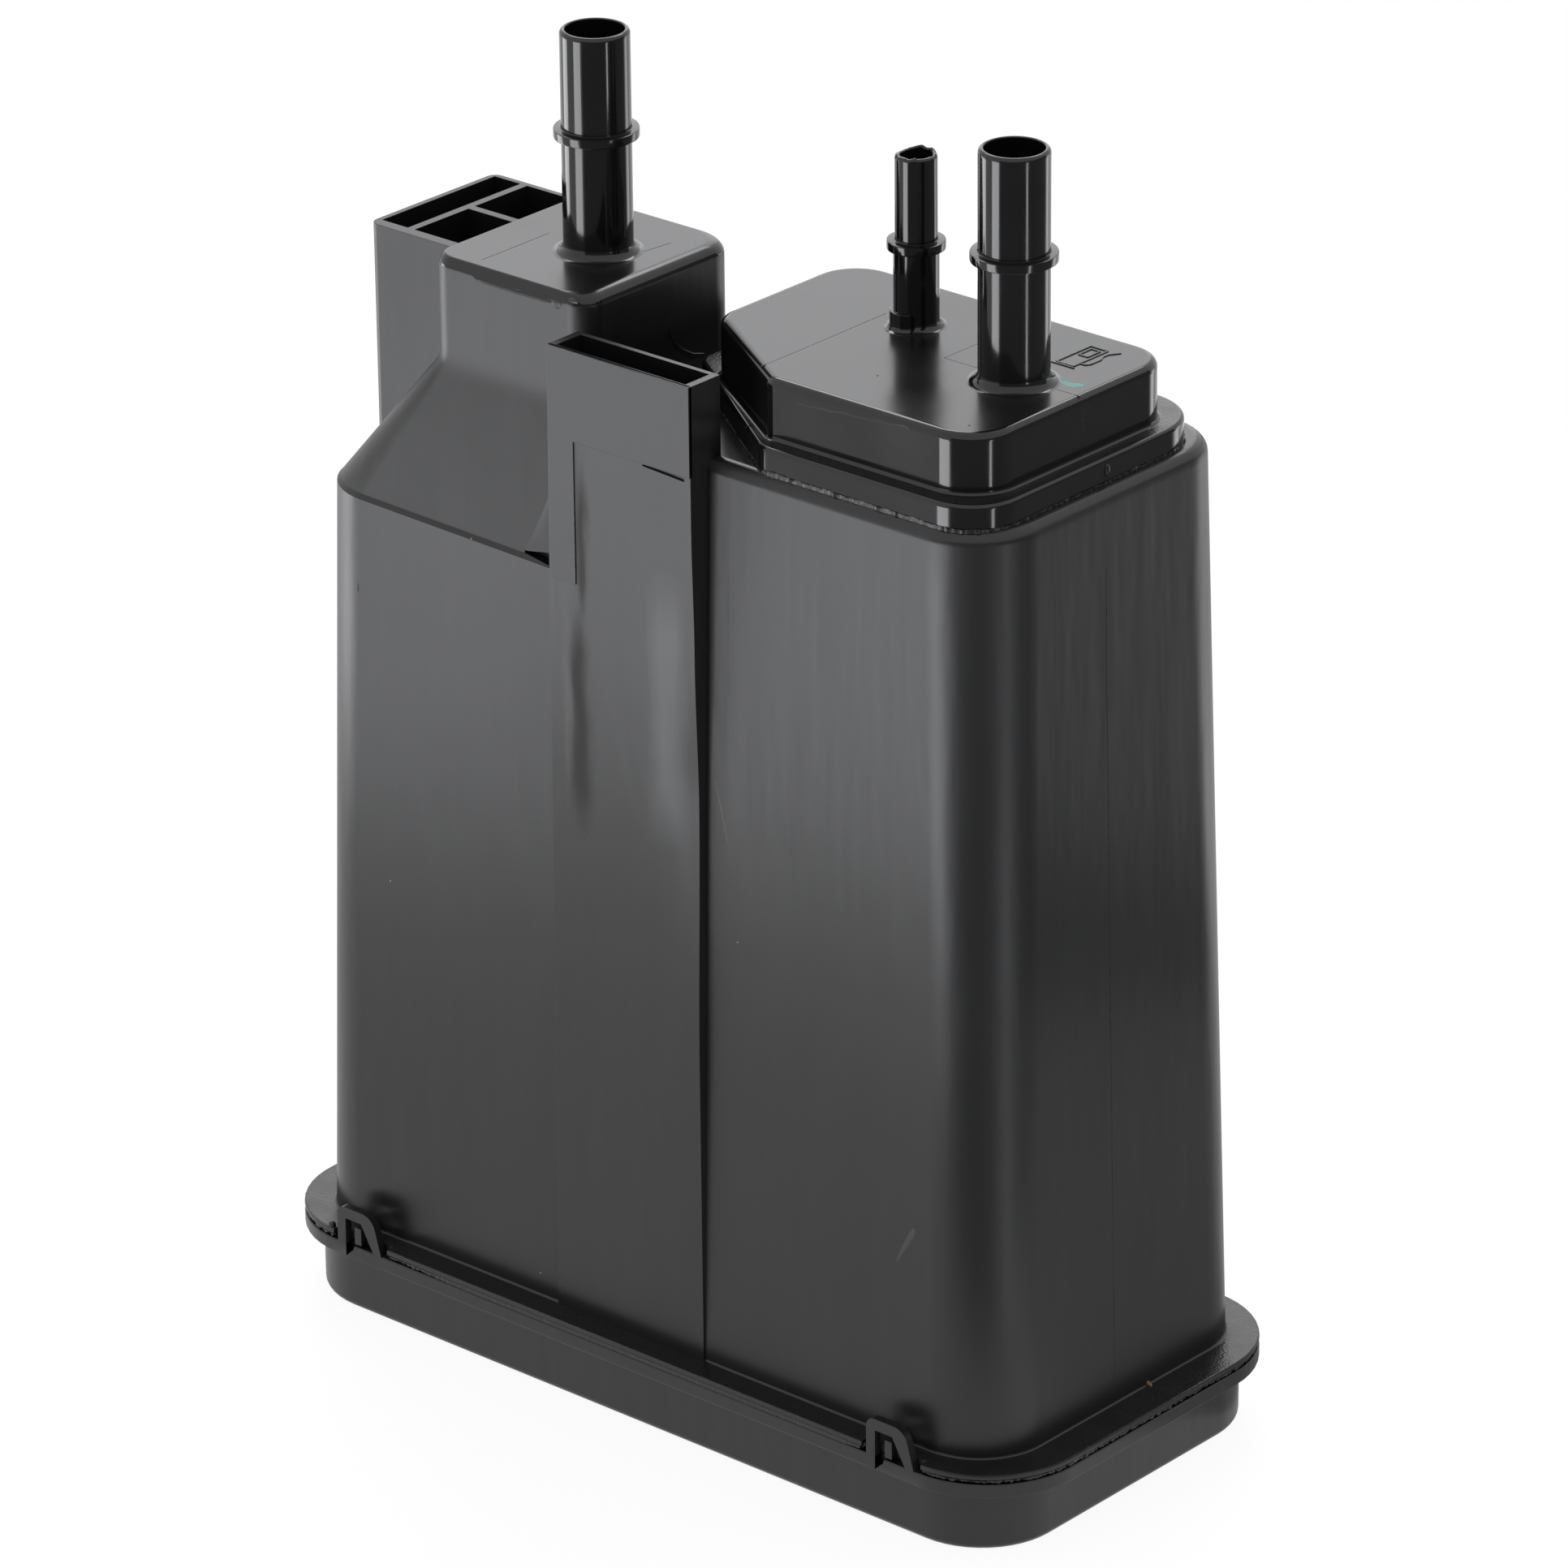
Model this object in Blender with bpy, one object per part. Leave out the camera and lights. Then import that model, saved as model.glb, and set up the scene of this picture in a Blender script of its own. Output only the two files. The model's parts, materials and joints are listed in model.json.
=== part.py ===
"""Charcoal canister: a welded two-chamber housing with three pipe stubs, and what it holds.

Metres, +Z up. The origin is the middle of the cover's underside, on which the part stands.
X runs along the canister: the vent chamber is at -X and the tank chamber at +X. The two
open mounting pockets are on the front (-Y) and on the end (-X).
"""

import math

import bmesh
import bpy

MM = 0.001

# Fits
WALL = 2.5 * MM
GAP = 0.3 * MM
SIDE_PLAY = 0.5 * MM
ARC_STEPS = 6
PIPE_STEPS = 28

# Weld flange of the housing, and the band of the cover below it; the other lengths go by these
FLANGE_LENGTH = 226.6 * MM
FLANGE_DEPTH = 107.8 * MM
FLANGE_CORNER = 24.5 * MM
FLANGE_THICKNESS = 2.2 * MM

# Bottom cover
COVER_END_INSET = 5.3 * MM
COVER_SIDE_INSET = 3.6 * MM
COVER_LENGTH = FLANGE_LENGTH - 2 * COVER_END_INSET
COVER_DEPTH = FLANGE_DEPTH - 2 * COVER_SIDE_INSET
COVER_CORNER = 20.0 * MM
COVER_EDGE = 1.6 * MM
COVER_FLOOR = 2.8 * MM
BAND_BOTTOM = 15.4 * MM
BAND_TOP = 18.8 * MM

# Snap loops of the cover, which stand in notches of the flange
LOOP_END_INSET = 32.0 * MM
LOOP_X = FLANGE_LENGTH / 2 - LOOP_END_INSET
LOOP_FOOT = 14.4 * MM
LOOP_HEAD = 10.4 * MM
LOOP_HEIGHT = 9.4 * MM
LOOP_BAR = 2.9 * MM
LOOP_THICKNESS = 2.0 * MM
LOOP_SLOT_DEPTH = 2.2 * MM
NOTCH_PLAY = 1.4 * MM
TOOTH_WIDTH = 2.2 * MM
TOOTH_HEIGHT = 4.6 * MM

# Drafted body of the housing
BODY_END_INSET = 8.7 * MM
BODY_SIDE_INSET = 6.4 * MM
BODY_LENGTH = FLANGE_LENGTH - 2 * BODY_END_INSET
BODY_DEPTH = FLANGE_DEPTH - 2 * BODY_SIDE_INSET
BODY_END = BODY_LENGTH / 2
BODY_SIDE = BODY_DEPTH / 2
BODY_CORNER = 17.0 * MM
BODY_DRAFT = 0.021
FACE_TOP = 236.8 * MM
SHOULDER = 3.4 * MM
PARTITION_X = -14.8 * MM

# Vent chamber: sloping roof and tower
ROOF_BOTTOM = 203.8 * MM
ROOF_LEDGE = 0.7 * MM
TOWER_FOOT = 240.6 * MM
TOWER_TOP = 265.0 * MM
TOWER_END_INSET = 36.8 * MM
TOWER_FRONT_INSET = 11.3 * MM
TOWER_BACK_INSET = 32.5 * MM
TOWER_LEFT = TOWER_END_INSET - BODY_END
TOWER_RIGHT = -20.5 * MM
TOWER_FRONT = TOWER_FRONT_INSET - BODY_SIDE
TOWER_BACK = BODY_SIDE - TOWER_BACK_INSET
TOWER_CORNER = 6.0 * MM
TOWER_BACK_CORNER = 8.0 * MM
TOWER_EDGE = 3.0 * MM

# End pocket block, open upwards, on the roof's end
BLOCK_LENGTH = 26.6 * MM
BLOCK_FRONT_INSET = 8.9 * MM
BLOCK_BACK_INSET = 0.6 * MM
BLOCK_LEFT = TOWER_LEFT - BLOCK_LENGTH
BLOCK_FRONT = TOWER_FRONT + BLOCK_FRONT_INSET
BLOCK_BACK = TOWER_BACK - BLOCK_BACK_INSET
BLOCK_RIM = 263.4 * MM
BLOCK_CORNER = 2.4 * MM
BLOCK_WALL = 1.5 * MM
BLOCK_FRONT_WALL = 2.6 * MM
BLOCK_RIB = 2.3 * MM
SLOT_WIDTH = 7.9 * MM
SLOT_DEPTH = 37.0 * MM
CELL_DEPTH = 21.5 * MM
CELL_SPLIT_SHIFT = 0.85 * MM
CELL_SPLIT_Y = (BLOCK_FRONT + BLOCK_BACK) / 2 + CELL_SPLIT_SHIFT

# Front pocket, open upwards, on a panel that runs down to the flange
POCKET_WIDTH = 41.4 * MM
POCKET_PROUD = 1.2 * MM
POCKET_LENGTH = 10.4 * MM
POCKET_FRONT = -POCKET_PROUD - BODY_SIDE
POCKET_BACK = POCKET_FRONT + POCKET_LENGTH
POCKET_RIM = 258.3 * MM
POCKET_WALL = 1.3 * MM
POCKET_SIDE_WALL = 2.0 * MM
POCKET_DEPTH = 66.0 * MM
PANEL_THICKNESS = 4.1 * MM
PANEL_INNER = POCKET_FRONT + PANEL_THICKNESS
COLLAR_PROUD = 0.6 * MM
COLLAR_HEIGHT = 21.2 * MM
COLLAR_LEG_WIDTH = 7.2 * MM
COLLAR_LEG_HEIGHT = 55.3 * MM

# Port cap, welded on the tank chamber
CAP_FLANGE_LEFT = -10.8 * MM
CAP_FLANGE_END_INSET = 8.1 * MM
CAP_FLANGE_FRONT_INSET = 6.3 * MM
CAP_FLANGE_BACK_INSET = 9.4 * MM
CAP_FLANGE_RIGHT = BODY_END - CAP_FLANGE_END_INSET
CAP_FLANGE_FRONT = CAP_FLANGE_FRONT_INSET - BODY_SIDE
CAP_FLANGE_BACK = BODY_SIDE - CAP_FLANGE_BACK_INSET
CAP_FLANGE_HEIGHT = 5.6 * MM
CAP_FLANGE_CUT_Y = -9.8 * MM
CAP_FLANGE_CUT_X = 34.6 * MM
CAP_LEFT = -1.2 * MM
CAP_LEDGE_RIGHT = 4.2 * MM
CAP_LEDGE_FRONT = 4.6 * MM
CAP_LEDGE_BACK = 7.5 * MM
CAP_RIGHT = CAP_FLANGE_RIGHT - CAP_LEDGE_RIGHT
CAP_FRONT = CAP_FLANGE_FRONT + CAP_LEDGE_FRONT
CAP_BACK = CAP_FLANGE_BACK - CAP_LEDGE_BACK
CAP_CUT_Y = -14.6 * MM
CAP_CUT_X = 33.2 * MM
CAP_HEIGHT = 19.6 * MM
CAP_EDGE = 2.2 * MM
CAP_DIVIDER = 2.0 * MM
CAP_DIVIDER_SHIFT = 0.8 * MM

# Pipe stubs for quick connectors: size of a 15.8 mm and a 9.5 mm connector's male end
WIDE_PIPE = 15.82 * MM
WIDE_BORE = 13.3 * MM
WIDE_BEAD = 19.3 * MM
NARROW_PIPE = 9.49 * MM
NARROW_BORE = 7.0 * MM
NARROW_BEAD = 13.1 * MM
NARROW_FOOT = 10.3 * MM
BEAD_WIDTH = 2.2 * MM
PIPE_FILLET = 1.7 * MM
PIPE_LIP = 1.2 * MM
VENT_SHIFT_Y = -0.25 * MM
VENT_X = TOWER_LEFT + 0.6 * (TOWER_RIGHT - TOWER_LEFT)
VENT_Y = (TOWER_FRONT + TOWER_BACK) / 2 + VENT_SHIFT_Y
VENT_HEIGHT = 52.0 * MM
VENT_BEAD_HEIGHT = 26.9 * MM
TANK_END_INSET = 17.5 * MM
TANK_SHIFT_Y = -0.8 * MM
TANK_X = CAP_RIGHT - TANK_END_INSET
TANK_Y = (CAP_FRONT + CAP_BACK) / 2 + TANK_SHIFT_Y
TANK_HEIGHT = 53.3 * MM
TANK_BEAD_HEIGHT = 27.7 * MM
PURGE_X = 36.8 * MM
PURGE_Y = 8.6 * MM
PURGE_HEIGHT = 39.8 * MM
PURGE_BEAD_HEIGHT = 17.9 * MM
PURGE_BOSS = 7.7 * MM
PURGE_BOSS_HEIGHT = 4.4 * MM
PURGE_BOSS_SHIFT_X = -1.9 * MM
PURGE_BOSS_SHIFT_Y = -1.1 * MM

# What the chambers hold, from the springs up
SPRING_DIAMETER = 20.0 * MM
SPRING_WIRE = 1.6 * MM
SPRING_TURNS = 4
SPRING_SIDE_INSET = 24.5 * MM
SPRING_SPREAD = BODY_DEPTH - 2 * SPRING_SIDE_INSET
SPRING_PEG = 14.0 * MM
SPRING_PEG_HEIGHT = 3.0 * MM
PLATE_BOTTOM = 20.4 * MM
PLATE_THICKNESS = 3.2 * MM
PLATE_HOLE = 9.0 * MM
PLATE_BAR = 3.2 * MM
FOAM_THICKNESS = 6.0 * MM
FLEECE_THICKNESS = 3.0 * MM
SCREEN_THICKNESS = 2.4 * MM
SCREEN_HOLE = 8.0 * MM
SCREEN_BAR = 2.6 * MM
TOWER_SCREEN_DROP = 3.0 * MM

# Heights and places that follow from the sizes above
FLANGE_BOTTOM = BAND_TOP + GAP
FLANGE_TOP = FLANGE_BOTTOM + FLANGE_THICKNESS
HOUSING_TOP = FACE_TOP + SHOULDER
SHELF_BOTTOM = HOUSING_TOP - WALL
CAP_BOTTOM = HOUSING_TOP + GAP
CAP_LEDGE = CAP_BOTTOM + CAP_FLANGE_HEIGHT
CAP_TOP = CAP_BOTTOM + CAP_HEIGHT
CAP_DIVIDER_X = (PURGE_X + TANK_X) / 2 - CAP_DIVIDER_SHIFT
SPLIT_X = TOWER_RIGHT - 0.7 * MM
TANK_CHAMBER_LEFT = PARTITION_X + WALL / 2
VENT_CHAMBER_RIGHT = PARTITION_X - WALL / 2
FOAM_BOTTOM = PLATE_BOTTOM + PLATE_THICKNESS + GAP
LOWER_FLEECE_BOTTOM = FOAM_BOTTOM + FOAM_THICKNESS + GAP
BED_BOTTOM = LOWER_FLEECE_BOTTOM + FLEECE_THICKNESS + GAP
TANK_SCREEN_BOTTOM = SHELF_BOTTOM - GAP - SCREEN_THICKNESS
TANK_FLEECE_BOTTOM = TANK_SCREEN_BOTTOM - GAP - FLEECE_THICKNESS
TANK_BED_TOP = TANK_FLEECE_BOTTOM - GAP
VENT_SCREEN_BOTTOM = TOWER_TOP - WALL - TOWER_SCREEN_DROP - SCREEN_THICKNESS
VENT_FLEECE_BOTTOM = VENT_SCREEN_BOTTOM - GAP - FLEECE_THICKNESS
VENT_BED_TOP = VENT_FLEECE_BOTTOM - GAP


# Materials

def material(name, colour, roughness, metallic=0.0):
    made = bpy.data.materials.new(name)
    made.use_nodes = True
    shader = made.node_tree.nodes["Principled BSDF"]
    shader.inputs["Base Color"].default_value = (*colour, 1.0)
    shader.inputs["Roughness"].default_value = roughness
    shader.inputs["Metallic"].default_value = metallic
    made.diffuse_color = (*colour, 1.0)
    return made


# Outlines

def rounded_polygon(corners, radii, steps=ARC_STEPS):
    """Counter-clockwise corners, each turned into an arc of the given radius."""
    points = []
    count = len(corners)
    for i, (corner, radius) in enumerate(zip(corners, radii)):
        before, after = corners[i - 1], corners[(i + 1) % count]
        into = math.atan2(corner[1] - before[1], corner[0] - before[0])
        out = math.atan2(after[1] - corner[1], after[0] - corner[0])
        turn = (out - into) % (2 * math.pi)
        reach = radius * math.tan(turn / 2)
        start_x = corner[0] - reach * math.cos(into)
        start_y = corner[1] - reach * math.sin(into)
        centre_x = start_x - radius * math.sin(into)
        centre_y = start_y + radius * math.cos(into)
        for step in range(steps + 1):
            angle = into - math.pi / 2 + turn * step / steps
            points.append((centre_x + radius * math.cos(angle), centre_y + radius * math.sin(angle)))
    return points


def rectangle(left, right, front, back, radii, steps=ARC_STEPS):
    """Radii go round from the front left corner: front left, front right, back right, back left."""
    corners = ((left, front), (right, front), (right, back), (left, back))
    return rounded_polygon(corners, radii, steps)


def centred(length, depth, corner, inset=0.0):
    x, y = length / 2 - inset, depth / 2 - inset
    return rectangle(-x, x, -y, y, (corner - inset,) * 4)


def body_inset(height):
    return BODY_DRAFT * max(0.0, height - FLANGE_TOP)


def body_side_x(height):
    return BODY_LENGTH / 2 - body_inset(height)


def body_side_y(height):
    return BODY_DEPTH / 2 - body_inset(height)


def body_outline(height, inset=0.0):
    x, y = body_side_x(height) - inset, body_side_y(height) - inset
    return rectangle(-x, x, -y, y, (BODY_CORNER - inset,) * 4)


def tank_outline(height, inset=0.0):
    """The tank chamber's inside, less an inset."""
    x, y = body_side_x(height) - WALL - inset, body_side_y(height) - WALL - inset
    corner = BODY_CORNER - WALL - inset
    small = corner / 4
    return rectangle(TANK_CHAMBER_LEFT + inset, x, -y, y, (small, corner, corner, small))


def vent_outline(height, inset=0.0):
    """The vent chamber's inside below its roof, less an inset."""
    x, y = body_side_x(height) - WALL - inset, body_side_y(height) - WALL - inset
    corner = BODY_CORNER - WALL - inset
    small = corner / 4
    return rectangle(-x, VENT_CHAMBER_RIGHT - inset, -y, y, (corner, small, small, corner))


def tower_outline(inset=0.0):
    front, back = TOWER_CORNER - inset, TOWER_BACK_CORNER - inset
    return rectangle(
        TOWER_LEFT + inset,
        TOWER_RIGHT - inset,
        TOWER_FRONT + inset,
        TOWER_BACK - inset,
        (front, front, back, front),
    )


def cap_flange_outline(inset=0.0):
    left, right = CAP_FLANGE_LEFT + inset, CAP_FLANGE_RIGHT - inset
    front, back = CAP_FLANGE_FRONT + inset, CAP_FLANGE_BACK - inset
    corners = (
        (CAP_FLANGE_CUT_X, front),
        (right, front),
        (right, back),
        (left, back),
        (left, CAP_FLANGE_CUT_Y),
    )
    radii = (9 * MM, 12.4 * MM, 15.5 * MM, 10 * MM, 6 * MM)
    return rounded_polygon(corners, [radius - inset for radius in radii])


def cap_outline(inset=0.0):
    corners = (
        (CAP_CUT_X + 0.4 * inset, CAP_FRONT + inset),
        (CAP_RIGHT - inset, CAP_FRONT + inset),
        (CAP_RIGHT - inset, CAP_BACK - inset),
        (CAP_LEFT + inset, CAP_BACK - inset),
        (CAP_LEFT + inset, CAP_CUT_Y + 0.7 * inset),
    )
    radii = (5 * MM, 11.4 * MM, 10.5 * MM, 11 * MM, 8 * MM)
    return rounded_polygon(corners, [radius - inset for radius in radii])


# Solids

def finished(name, mesh_data, look):
    mesh = bpy.data.meshes.new(name)
    mesh_data.to_mesh(mesh)
    mesh_data.free()
    obj = bpy.data.objects.new(name, mesh)
    bpy.context.collection.objects.link(obj)
    if look:
        mesh.materials.append(look)
        mesh.shade_smooth()
        mesh.set_sharp_from_angle(angle=math.radians(32))
    return obj


def loft(name, rings, look=None):
    """A closed solid through rings of (points, height), from the lowest to the highest."""
    built = bmesh.new()
    layers = []
    for points, height in rings:
        layers.append([built.verts.new((x, y, height)) for x, y in points])
    for lower, upper in zip(layers, layers[1:]):
        for i in range(len(lower)):
            j = (i + 1) % len(lower)
            built.faces.new((lower[i], lower[j], upper[j], upper[i]))
    built.faces.new(reversed(layers[0]))
    built.faces.new(layers[-1])
    return finished(name, built, look)


def prism(name, points, bottom, top, look=None):
    return loft(name, ((points, bottom), (points, top)), look)


def box(name, left, right, front, back, bottom, top, look=None):
    corners = ((left, front), (right, front), (right, back), (left, back))
    return prism(name, corners, bottom, top, look)


def extruded_x(name, points, left, right):
    """A solid with the given (y, z) section, counter-clockwise seen from +X."""
    built = bmesh.new()
    near = [built.verts.new((right, y, z)) for y, z in points]
    far = [built.verts.new((left, y, z)) for y, z in points]
    built.faces.new(near)
    built.faces.new(reversed(far))
    for i in range(len(points)):
        j = (i + 1) % len(points)
        built.faces.new((near[j], near[i], far[i], far[j]))
    return finished(name, built, None)


def extruded_y(name, points, front, back):
    """A solid with the given (x, z) section, counter-clockwise seen from the front."""
    built = bmesh.new()
    near = [built.verts.new((x, front, z)) for x, z in points]
    far = [built.verts.new((x, back, z)) for x, z in points]
    built.faces.new(near)
    built.faces.new(reversed(far))
    for i in range(len(points)):
        j = (i + 1) % len(points)
        built.faces.new((near[j], near[i], far[i], far[j]))
    return finished(name, built, None)


def turned(name, x, y, profile, steps=PIPE_STEPS):
    """A solid of revolution through (radius, height) points, from the lowest to the highest."""
    rings = []
    for radius, height in profile:
        ring = []
        for step in range(steps):
            angle = 2 * math.pi * step / steps
            ring.append((x + radius * math.cos(angle), y + radius * math.sin(angle)))
        rings.append((ring, height))
    return loft(name, rings)


def edge_rings(outline, top, radius, steps=4):
    """Rings that round a top edge: outline(inset) gives the points, drawn in by the arc."""
    rings = []
    for step in range(steps + 1):
        angle = math.pi / 2 * step / steps
        rings.append((outline(radius * (1 - math.cos(angle))), top - radius * (1 - math.sin(angle))))
    return rings


def combine(target, other, operation):
    """Joins or cuts, applies it, and deletes the other solid."""
    step = target.modifiers.new(operation.lower(), "BOOLEAN")
    step.operation = operation
    step.solver = "EXACT"
    step.object = other
    bpy.context.view_layer.update()
    graph = bpy.context.evaluated_depsgraph_get()
    result = bpy.data.meshes.new_from_object(target.evaluated_get(graph))
    target.modifiers.clear()
    old = target.data
    target.data = result
    bpy.data.meshes.remove(old)
    bpy.data.objects.remove(other)


def join(target, *others):
    for other in others:
        combine(target, other, "UNION")


def cut(target, *others):
    for other in others:
        combine(target, other, "DIFFERENCE")


def smooth(obj):
    obj.data.shade_smooth()
    obj.data.set_sharp_from_angle(angle=math.radians(32))


# Pipe stubs

def pipe(x, y, base, diameter, foot, bead, bead_height, height):
    """A stub with a fillet at its foot, a retaining bead and a rounded lip."""
    radius, foot_radius, bead_radius = diameter / 2, foot / 2, bead / 2
    profile = [(foot_radius + PIPE_FILLET, base - WALL / 2)]
    for step in range(4):
        angle = math.pi / 2 * step / 3
        reach = foot_radius + PIPE_FILLET * (1 - math.sin(angle))
        profile.append((reach, base + PIPE_FILLET * (1 - math.cos(angle))))
    profile += [
        (foot_radius, base + bead_height),
        (bead_radius, base + bead_height + 0.1 * MM),
        (bead_radius, base + bead_height + BEAD_WIDTH),
        (radius, base + bead_height + BEAD_WIDTH + 0.3 * MM),
    ]
    for step in range(4):
        angle = math.pi / 2 * step / 3
        reach = radius - PIPE_LIP * (1 - math.cos(angle))
        profile.append((reach, base + height - PIPE_LIP * (1 - math.sin(angle))))
    return turned("pipe", x, y, profile)


def bore(x, y, diameter, bottom, top):
    margin = 1 * MM
    return turned("bore", x, y, ((diameter / 2, bottom - margin), (diameter / 2, top + margin)))


# Housing: one moulding

def body_shell():
    """The drafted body with its rounded shoulder, and its vent end cut down to the roof's foot."""
    rings = [(body_outline(FLANGE_TOP), FLANGE_BOTTOM), (body_outline(FLANGE_TOP), FLANGE_TOP)]
    rings += edge_rings(lambda inset: body_outline(FACE_TOP, inset), HOUSING_TOP, SHOULDER)
    shell = loft("housing", rings)
    reach = BODY_LENGTH
    cut(shell, box("end_cutter", -reach, SPLIT_X, -reach, reach, ROOF_BOTTOM, 2 * HOUSING_TOP))
    return shell


def roof_foot(height, inset, draw_in):
    """The roof's section where it meets the body; it reaches past the split, into the tank end."""
    x, y = body_side_x(height) - inset, body_side_y(height) - inset
    corner = BODY_CORNER - inset
    right = SPLIT_X + 6 * MM - draw_in
    return rectangle(-x, right, -y, y, (corner, 2 * MM, 2 * MM, corner))


def roof_and_tower():
    sunk = 2 * MM
    rings = [
        (roof_foot(ROOF_BOTTOM, 2 * ROOF_LEDGE, 0), ROOF_BOTTOM - sunk),
        (roof_foot(ROOF_BOTTOM, ROOF_LEDGE, 0), ROOF_BOTTOM + 0.1 * MM),
        (tower_outline(), TOWER_FOOT),
    ]
    rings += edge_rings(tower_outline, TOWER_TOP, TOWER_EDGE)
    return loft("tower", rings)


def end_block():
    """The block with a slot behind its end wall, and two cells between the slot and the tower."""
    corner = BLOCK_CORNER
    right = TOWER_LEFT + TOWER_CORNER
    outline = rectangle(BLOCK_LEFT, right, BLOCK_FRONT, BLOCK_BACK, (corner, MM, MM, corner), 3)
    block = prism("block", outline, ROOF_BOTTOM - 4 * MM, BLOCK_RIM)
    front, back = BLOCK_FRONT + BLOCK_FRONT_WALL, BLOCK_BACK - BLOCK_WALL
    slot_left = BLOCK_LEFT + BLOCK_WALL
    slot_right = slot_left + SLOT_WIDTH
    cell_left = slot_right + BLOCK_RIB
    cell_right = right + WALL
    half_rib = BLOCK_RIB / 2
    top = BLOCK_RIM + WALL
    cut(
        block,
        box("slot", slot_left, slot_right, front, back, BLOCK_RIM - SLOT_DEPTH, top),
        box("cell", cell_left, cell_right, front, CELL_SPLIT_Y - half_rib, BLOCK_RIM - CELL_DEPTH, top),
        box("cell", cell_left, cell_right, CELL_SPLIT_Y + half_rib, back, BLOCK_RIM - CELL_DEPTH, top),
    )
    return block


def front_panel():
    """The panel's section: a pocket block on a thin panel, with a slope under the block."""
    floor = POCKET_RIM - POCKET_DEPTH - 2 * WALL
    lower = floor - (POCKET_BACK - PANEL_INNER)
    section = (
        (POCKET_FRONT, FLANGE_TOP - FLANGE_THICKNESS / 2),
        (PANEL_INNER, FLANGE_TOP - FLANGE_THICKNESS / 2),
        (PANEL_INNER, lower),
        (POCKET_BACK, floor),
        (POCKET_BACK, POCKET_RIM),
        (POCKET_FRONT, POCKET_RIM),
    )
    return extruded_x("panel", section, -POCKET_WIDTH / 2, POCKET_WIDTH / 2)


def front_panel_cutters():
    """The slot, and the face set back below the collar and beside its leg."""
    side = POCKET_WIDTH / 2
    slot = box(
        "slot",
        POCKET_SIDE_WALL - side,
        side - POCKET_SIDE_WALL,
        POCKET_FRONT + POCKET_WALL,
        POCKET_BACK - POCKET_WALL,
        POCKET_RIM - POCKET_DEPTH,
        POCKET_RIM + WALL,
    )
    leg_x = COLLAR_LEG_WIDTH - side
    collar_z, leg_z = POCKET_RIM - COLLAR_HEIGHT, POCKET_RIM - COLLAR_LEG_HEIGHT
    out = side + WALL
    face = (
        (-out, FLANGE_TOP),
        (out, FLANGE_TOP),
        (out, collar_z),
        (leg_x, collar_z),
        (leg_x, leg_z),
        (-out, leg_z),
    )
    recess = extruded_y("recess", face, POCKET_FRONT - WALL, POCKET_FRONT + COLLAR_PROUD)
    return slot, recess


def pocket_keep_out(clearance):
    """What the chambers' insides leave round the front pocket."""
    side = POCKET_WIDTH / 2 + clearance
    bottom = POCKET_RIM - POCKET_DEPTH - clearance
    slope = POCKET_BACK - PANEL_INNER
    section = (
        (-BODY_DEPTH, bottom - slope),
        (PANEL_INNER, bottom - slope),
        (POCKET_BACK + clearance, bottom),
        (POCKET_BACK + clearance, 2 * POCKET_RIM),
        (-BODY_DEPTH, 2 * POCKET_RIM),
    )
    return extruded_x("keep_out", section, -side, side)


def tank_space(inset, bottom, top, name="space", look=None):
    """The tank chamber between two heights, drawn in by an inset, clear of the front pocket."""
    rings = ((tank_outline(bottom, inset), bottom), (tank_outline(top, inset), top))
    space = loft(name, rings, look)
    cut(space, pocket_keep_out(WALL + inset))
    return space


def vent_space(inset, bottom, top, name="space", look=None):
    """The vent chamber from a height in its straight part to one in its tower."""
    inner = WALL + inset
    neck = TOWER_FOOT - WALL / 2
    eave = ROOF_BOTTOM - WALL / 2
    rings = [
        (vent_outline(bottom, inset), bottom),
        (vent_outline(eave, inset), eave - inset),
        (tower_outline(inner), neck - inset),
        (tower_outline(inner), top),
    ]
    space = loft(name, rings, look)
    cut(space, pocket_keep_out(WALL + inset))
    return space


def flange_notches():
    """Room round each of the cover's snap loops."""
    half = LOOP_FOOT / 2 + NOTCH_PLAY
    depth = LOOP_THICKNESS + GAP
    edge = FLANGE_DEPTH / 2
    cutters = []
    for x in (-LOOP_X, LOOP_X):
        for side in (-1, 1):
            front, back = sorted((side * (edge - depth), side * (edge + WALL)))
            low, high = FLANGE_BOTTOM - WALL, FLANGE_TOP + WALL
            cutters.append(box("notch", x - half, x + half, front, back, low, high))
    return cutters


def flange_teeth():
    """The teeth that stand in the snap loops' windows."""
    edge = FLANGE_DEPTH / 2
    teeth = []
    for x in (-LOOP_X, LOOP_X):
        for side in (-1, 1):
            front, back = sorted((side * (edge - LOOP_THICKNESS - 3 * MM), side * (edge - 0.4 * MM)))
            left = x - TOOTH_WIDTH
            top = FLANGE_BOTTOM + TOOTH_HEIGHT
            low = FLANGE_BOTTOM + 0.2 * MM
            teeth.append(box("tooth", left, left + TOOTH_WIDTH, front, back, low, top))
    return teeth


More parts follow.
